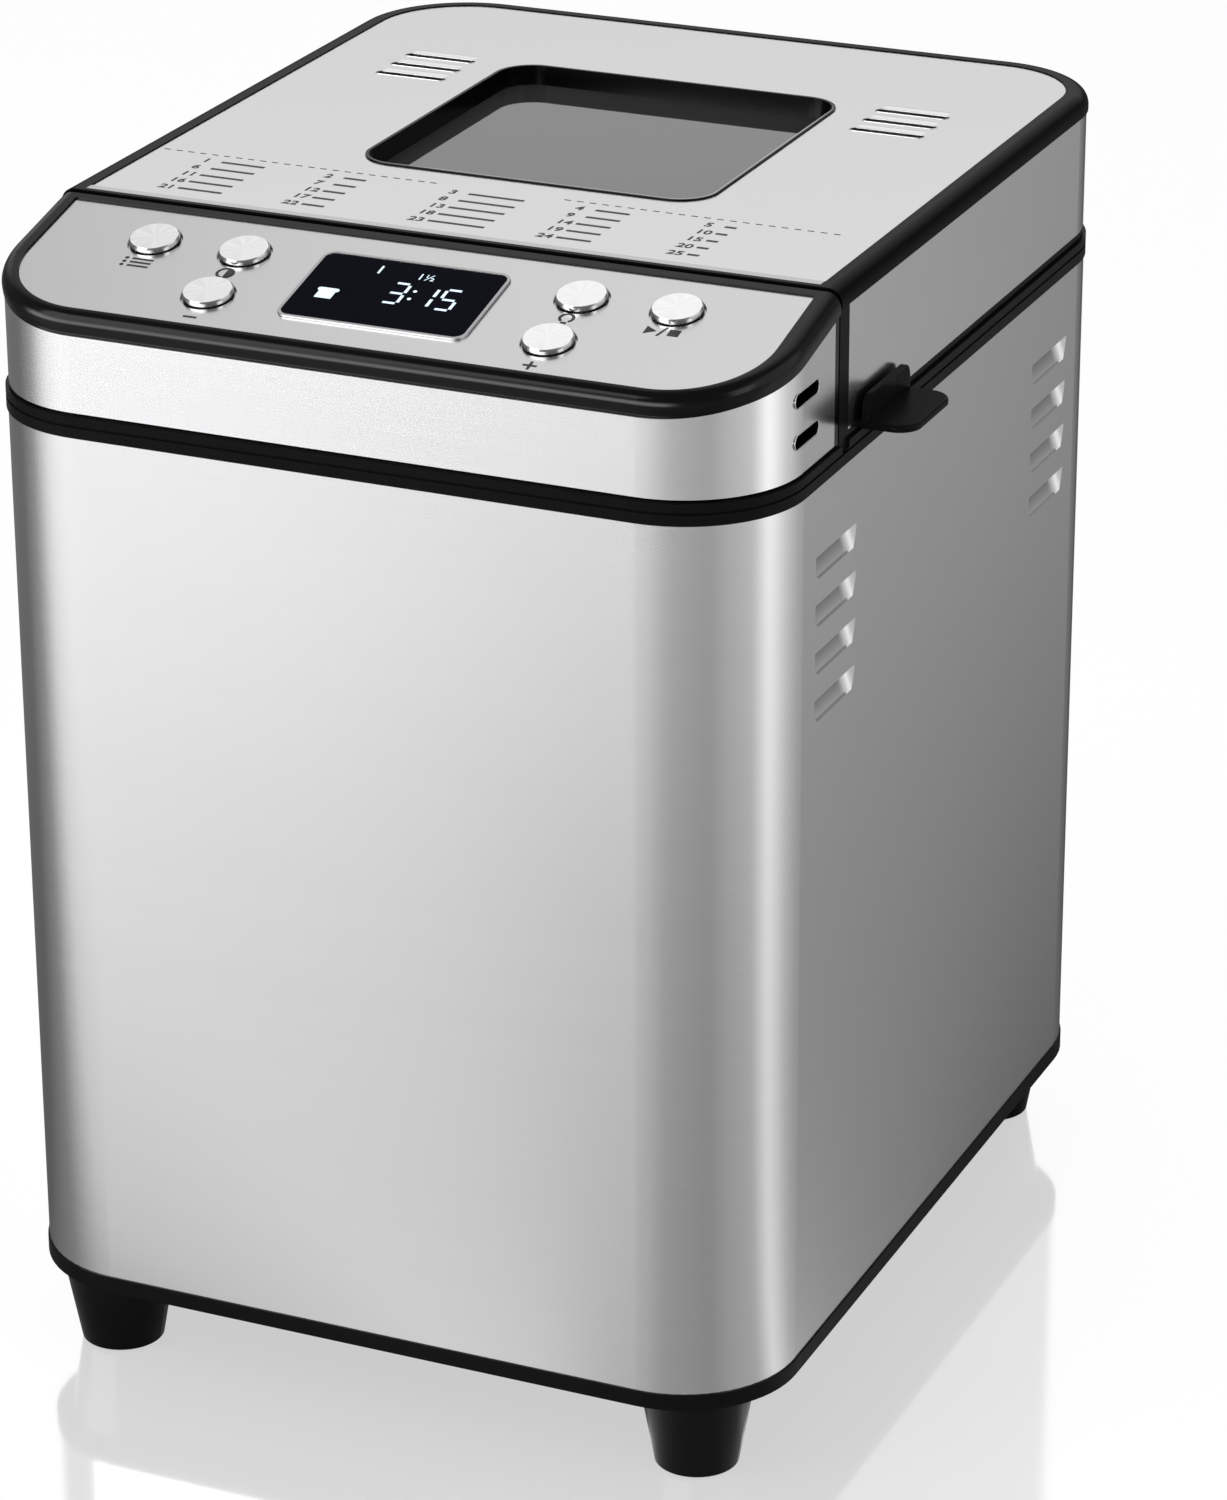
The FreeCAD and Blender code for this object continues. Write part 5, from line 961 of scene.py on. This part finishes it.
class BREAD_OT_display(bpy.types.Operator):
    """Lit digits and signs of the display"""

    bl_idname = "bread_machine.display"
    bl_label = "Display"

    # Strokes of a digit: top, upper right, lower right, foot, lower left, upper left, middle
    DIGITS = {"1": (1, 2), "3": (0, 1, 2, 3, 6), "5": (0, 5, 6, 2, 3)}

    # Places on the control plate: across it, and up its slope; the program's mark is a bar
    TIME = (("3", 0.0002), ("1", 0.0083), ("5", 0.0147))
    TIME_ROW = -0.0242
    COLON = ((0.0046, -0.0223), (0.0046, -0.0260))
    COLON_DOT = 0.00055
    PROGRAM = (-0.0089, -0.0083, -0.0163, -0.0127)
    SIZE = (0.0021, -0.0155)
    SIZE_HEIGHT = 0.0029
    LOAF = (-0.0176, -0.0283)
    GLOW = 1.3

    def execute(self, context):
        s = sizes()
        inverse = console_matrix().inverted()
        top = max((inverse @ v.co).z for v in frame["nodes"]["display_lens"].data.vertices)
        mesh = bmesh.new()
        for character, x in self.TIME:
            self.add_digit(mesh, character, x, self.TIME_ROW, top)
        for x, y in self.COLON:
            add_prism(mesh, disc(x, y, self.COLON_DOT, steps=12), top, top + s.ink)
        add_prism(mesh, bar(*self.PROGRAM), top, top + s.ink)
        add_text(mesh, "1½", *self.SIZE, self.SIZE_HEIGHT, s.ink, top)
        self.add_loaf(mesh, *self.LOAF, top)
        glow = lit("display_glow", colours().glow, self.GLOW)
        make_piece("display_digits", mesh, glow, "housing", console_matrix())
        return {"FINISHED"}

    def add_digit(self, mesh, character, x, y, top):
        s = sizes()
        w, h, t = s.digit_width / 2, s.digit_height / 2, s.segment / 2
        strokes = (
            bar(x - w + t, x + w - t, y + h - t, y + h + t),
            bar(x + w - t, x + w + t, y + t * 1.5, y + h - t * 1.5),
            bar(x + w - t, x + w + t, y - h + t * 1.5, y - t * 1.5),
            bar(x - w + t, x + w - t, y - h - t, y - h + t),
            bar(x - w - t, x - w + t, y - h + t * 1.5, y - t * 1.5),
            bar(x - w - t, x - w + t, y + t * 1.5, y + h - t * 1.5),
            bar(x - w + t, x + w - t, y - t, y + t),
        )
        for number in self.DIGITS[character]:
            add_prism(mesh, strokes[number], top, top + s.ink)

    def add_loaf(self, mesh, x, y, top):
        """A slice of bread: a square crumb under a wider crown."""
        half, crown = 0.0023, 0.0030
        foot, shoulder, bulge = 0.0025, 0.0008, 0.0008
        level = y + shoulder + bulge
        outline = [(x - half, y - foot), (x + half, y - foot), (x + half, y + shoulder)]
        outline += disc(x + crown - bulge, level, bulge, -math.pi / 2, math.pi / 2, steps=6)
        outline += disc(x - crown + bulge, level, bulge, math.pi / 2, 3 * math.pi / 2, steps=6)
        outline += [(x - half, y + shoulder)]
        add_prism(mesh, outline, top, top + sizes().ink)


class BREAD_OT_slot_hems(bpy.types.Operator):
    """Rolled bright edges round the vent slots of the lid and the console"""

    bl_idname = "bread_machine.slot_hems"
    bl_label = "Slot edges"

    # How far an edge lies inside the console's steel, which curves away at its front end
    SUNK = 0.0001

    # What the round of a slot's end lacks of half its width
    ROUND_GAP = 0.00001

    def execute(self, context):
        s = sizes()
        hem = plain_metal("slot_hem", (0.62, 0.62, 0.63), 0.3)
        tree = slot_hem_tree(hem)
        low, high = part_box("console_skin")
        for side, word in zip(SIDES, ("left", "right")):
            first = (s.vent_side * side, s.vent_middle - s.vent_pitch, LID_TOP)
            values = self.values(3, first, s.vent_pitch, s.vent_length, s.vent_width)
            grow(f"slot_hems_{word}", tree, values, hem, "lid")
            values = self.values(2, (0, 0, 0), s.side_pitch, s.side_length, s.side_width)
            spot = Vector(((high.x - self.SUNK) * side, high.y - s.side_back, low.z + s.side_low))
            stand = Matrix(((0, 0, side, 0), (side, 0, 0, 0), (0, 1, 0, 0), (0, 0, 0, 1)))
            place = Matrix.Translation(spot) @ stand
            grow(f"console_hems_{word}", tree, values, hem, "housing", place)
        return {"FINISHED"}

    def values(self, count, start, pitch, run, width):
        """Inputs of the tree for one row of slots."""
        return {
            "Count": count,
            "Start": start,
            "Pitch": (0, pitch, 0),
            "Length": run,
            "Width": width,
            "Round": width / 2 - self.ROUND_GAP,
            "Hem": sizes().hem,
        }


class BREAD_OT_stage(bpy.types.Operator):
    """Floor, lamps, surroundings and camera"""

    bl_idname = "bread_machine.stage"
    bl_label = "Studio"

    # Long low lamp at the front left, which the rounded black rims mirror
    STRIP = 8.0
    STRIP_AIM = (-0.50, -0.86, 0.05)
    STRIP_SPREAD = (0.72, 0.88)

    # Light and dark cards that the steel mirrors: degrees from the front, left to right, and tone
    CARDS = (
        (-180, 0.08), (-140, 0.16), (-95, 0.14), (-78, 0.30), (-62, 0.85), (-46, 1.02),
        (-32, 0.93), (-20, 0.71), (5, 0.47), (45, 0.38), (60, 0.48), (86, 0.58),
        (103, 1.12), (126, 0.64), (146, 0.43), (160, 0.31), (172, 0.14), (180, 0.08),
    )

    # Directions of the pale panels overhead, behind the machine and at its right
    REAR_PANEL = (-0.33, 0.77, 0.55)
    SIDE_PANEL = (0.865, 0.20, 0.454)

    WHITE = (1, 1, 1, 1)
    LAMP_AIM = (0, 0, 0.18)

    # The camera's lens in millimetres, its place in metres and its angles in degrees
    LENS = 130.98
    EYE = (0.57896, -1.28316, 0.74579)
    ANGLES = (23.79, 23.05, -0.24)

    def execute(self, context):
        self.surroundings()
        self.floor()
        self.lamp("key", (-1.3, -1.5, 1.7), 1.3, 1.3, 17)
        self.lamp("fill", (1.9, -0.9, 1.3), 0.7, 1.4, 7)
        self.camera()
        context.scene.view_settings.view_transform = "Standard"
        return {"FINISHED"}

    def tones(self, paint, where):
        """Tone of the card that stands in a direction."""
        x, y, _ = paint.split(where)
        around = paint.maths("ARCTAN2", x, 0 - y) / math.tau + 0.5
        stops = [((angle + 180) / 360, tone) for angle, tone in self.CARDS]
        return paint.add("ShaderNodeValToRGB", {"stops": stops}, {0: around})

    def lobe(self, paint, where, towards, near, full):
        """Rises from 0 to 1 as a direction comes near another."""
        aim = tuple(Vector(towards).normalized())
        return self.ease(paint, paint.vector("DOT_PRODUCT", where, aim, out=1), near, full)

    def ease(self, paint, value, low, high):
        return paint.add(
            "ShaderNodeMapRange",
            {"interpolation_type": "SMOOTHSTEP"},
            {"Value": value, "From Min": low, "From Max": high},
        )

    def light_path(self, paint, *names):
        """1 for rays of the named kinds."""
        node = paint.add("ShaderNodeLightPath").socket.node
        total = 0.0
        for name in names:
            total = total + Reading(paint, node.outputs[name])
        return paint.clamp(total)

    def surroundings(self):
        """White to look at, soft light for things, and a studio with dark sides for what mirrors it."""
        world = bpy.data.worlds.new("studio")
        world.use_nodes = True
        bpy.context.scene.world = world
        paint = Paint("studio", world.node_tree)
        way = paint.add("ShaderNodeTexCoord")
        x, _, z = paint.split(way)
        behind = self.lobe(paint, way, self.REAR_PANEL, 0.72, 0.95)
        left = (1 - self.ease(paint, x, -0.50, -0.40)) * self.ease(paint, z, 0.48, 0.60)
        side = self.lobe(paint, way, self.SIDE_PANEL, 0.80, 0.93)
        over = 0.25 + behind * (0.78 - 0.36 * left) + 0.95 * side
        risen = self.ease(paint, z, 0.06, 0.30)
        low = self.ease(paint, z, -0.06, -0.02) * (1 - self.ease(paint, z, 0.16, 0.42))
        strip = self.STRIP * low * self.lobe(paint, way, self.STRIP_AIM, *self.STRIP_SPREAD)
        mirrored = self.tones(paint, way) * (1 - risen) + over * risen + strip
        glossy = self.light_path(paint, "Is Glossy Ray")
        seen = self.light_path(paint, "Is Camera Ray", "Is Transmission Ray")
        strength = mirrored * glossy + (0.55 + 0.45 * seen) * (1 - glossy)
        sky = paint.add("ShaderNodeBackground", None, {"Color": self.WHITE, "Strength": strength})
        paint.add("ShaderNodeOutputWorld", None, {"Surface": sky})

    def floor(self):
        """White table top with a soft mirror image; steel sees the cards that stand on it instead."""
        mesh = bmesh.new()
        add_prism(mesh, bar(-6, 6, -6, 6), -0.01, 0.0)
        data = bpy.data.meshes.new("floor")
        mesh.to_mesh(data)
        mesh.free()
        paint = Paint("pale_floor")
        here = paint.coordinates(centre=(*FRONT_CORNER, 0))
        away = paint.vector("LENGTH", here, out=1)
        lit_white = paint.add("ShaderNodeEmission", None, {"Color": self.WHITE, "Strength": 1.08})
        shaded = paint.add("ShaderNodeBsdfDiffuse", None, {"Color": (0.92, 0.92, 0.92, 1)})
        share = self.light_path(paint, "Is Camera Ray", "Is Transmission Ray") * 0.8
        ground = paint.add("ShaderNodeMixShader", None, {0: share, 1: shaded, 2: lit_white})
        shine = paint.add("ShaderNodeBsdfGlossy", None, {"Color": self.WHITE, "Roughness": 0.08})
        mirror = 0.32 * (1 - self.ease(paint, away, 0.35, 0.85))
        table = paint.add("ShaderNodeMixShader", None, {0: mirror, 1: ground, 2: shine})
        way = paint.vector("NORMALIZE", here)
        far = self.ease(paint, away, 2.6, 3.6)
        strip = self.STRIP * far * self.lobe(paint, way, self.STRIP_AIM, *self.STRIP_SPREAD)
        strength = self.tones(paint, here) * (0.82 + 0.34 * self.ease(paint, away, 0.15, 0.95)) + strip
        cards = paint.add("ShaderNodeEmission", None, {"Color": self.WHITE, "Strength": strength})
        glossy = self.light_path(paint, "Is Glossy Ray")
        whole = paint.add("ShaderNodeMixShader", None, {0: glossy, 1: table, 2: cards})
        paint.add("ShaderNodeOutputMaterial", None, {"Surface": whole})
        data.materials.append(paint.material)
        floor = bpy.data.objects.new("floor", data)
        bpy.context.scene.collection.objects.link(floor)

    def lamp(self, name, place, width, height, power):
        light = bpy.data.lights.new(name, "AREA")
        light.shape = "RECTANGLE"
        light.size = width
        light.size_y = height
        light.energy = power
        lamp = bpy.data.objects.new(name, light)
        lamp.location = place
        aim = Vector(self.LAMP_AIM) - Vector(place)
        lamp.rotation_euler = aim.to_track_quat("-Z", "Y").to_euler()
        lamp.visible_camera = False
        bpy.context.scene.collection.objects.link(lamp)

    def camera(self):
        view = bpy.data.cameras.new("view")
        view.sensor_width = 36.0
        view.lens = self.LENS
        view.clip_end = 50.0
        camera = bpy.data.objects.new("view", view)
        turn, tilt, roll = (math.radians(angle) for angle in self.ANGLES)
        back = Vector(
            (math.sin(turn) * math.cos(tilt), -math.cos(turn) * math.cos(tilt), math.sin(tilt))
        )
        level = Vector((math.cos(turn), math.sin(turn), 0))
        upward = back.cross(level)
        right = level * math.cos(roll) + upward * math.sin(roll)
        up = upward * math.cos(roll) - level * math.sin(roll)
        facing = Matrix((right, up, back)).transposed().to_4x4()
        camera.matrix_world = Matrix.Translation(Vector(self.EYE)) @ facing
        bpy.context.scene.collection.objects.link(camera)
        bpy.context.scene.camera = camera


OPERATORS = (
    BREAD_OT_case_steel,
    BREAD_OT_button_caps,
    BREAD_OT_mouldings,
    BREAD_OT_glazing,
    BREAD_OT_inside,
    BREAD_OT_program_numbers,
    BREAD_OT_button_marks,
    BREAD_OT_display,
    BREAD_OT_slot_hems,
    BREAD_OT_stage,
)


class BREAD_PT_panel(bpy.types.Panel):
    """Lists the machine's operators, sizes and colours"""

    bl_label = "Bread machine"
    bl_idname = "BREAD_PT_panel"
    bl_space_type = "VIEW_3D"
    bl_region_type = "UI"
    bl_category = "Bread machine"

    def draw(self, context):
        for operator in OPERATORS:
            self.layout.operator(operator.bl_idname)
        for group in (context.scene.bread_machine_sizes, context.scene.bread_machine_colours):
            box = self.layout.box()
            for name in group.__annotations__:
                box.prop(group, name)


CLASSES = (MachineSizes, MachineColours, *OPERATORS, BREAD_PT_panel)


def register():
    for item in CLASSES:
        bpy.utils.register_class(item)
    bpy.types.Scene.bread_machine_sizes = PointerProperty(type=MachineSizes)
    bpy.types.Scene.bread_machine_colours = PointerProperty(type=MachineColours)


def unregister():
    del bpy.types.Scene.bread_machine_colours
    del bpy.types.Scene.bread_machine_sizes
    for item in reversed(CLASSES):
        bpy.utils.unregister_class(item)


def main():
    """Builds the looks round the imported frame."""
    register()
    for operator in OPERATORS:
        group, name = operator.bl_idname.split(".")
        getattr(getattr(bpy.ops, group), name)()


if __name__ == "__main__":
    main()
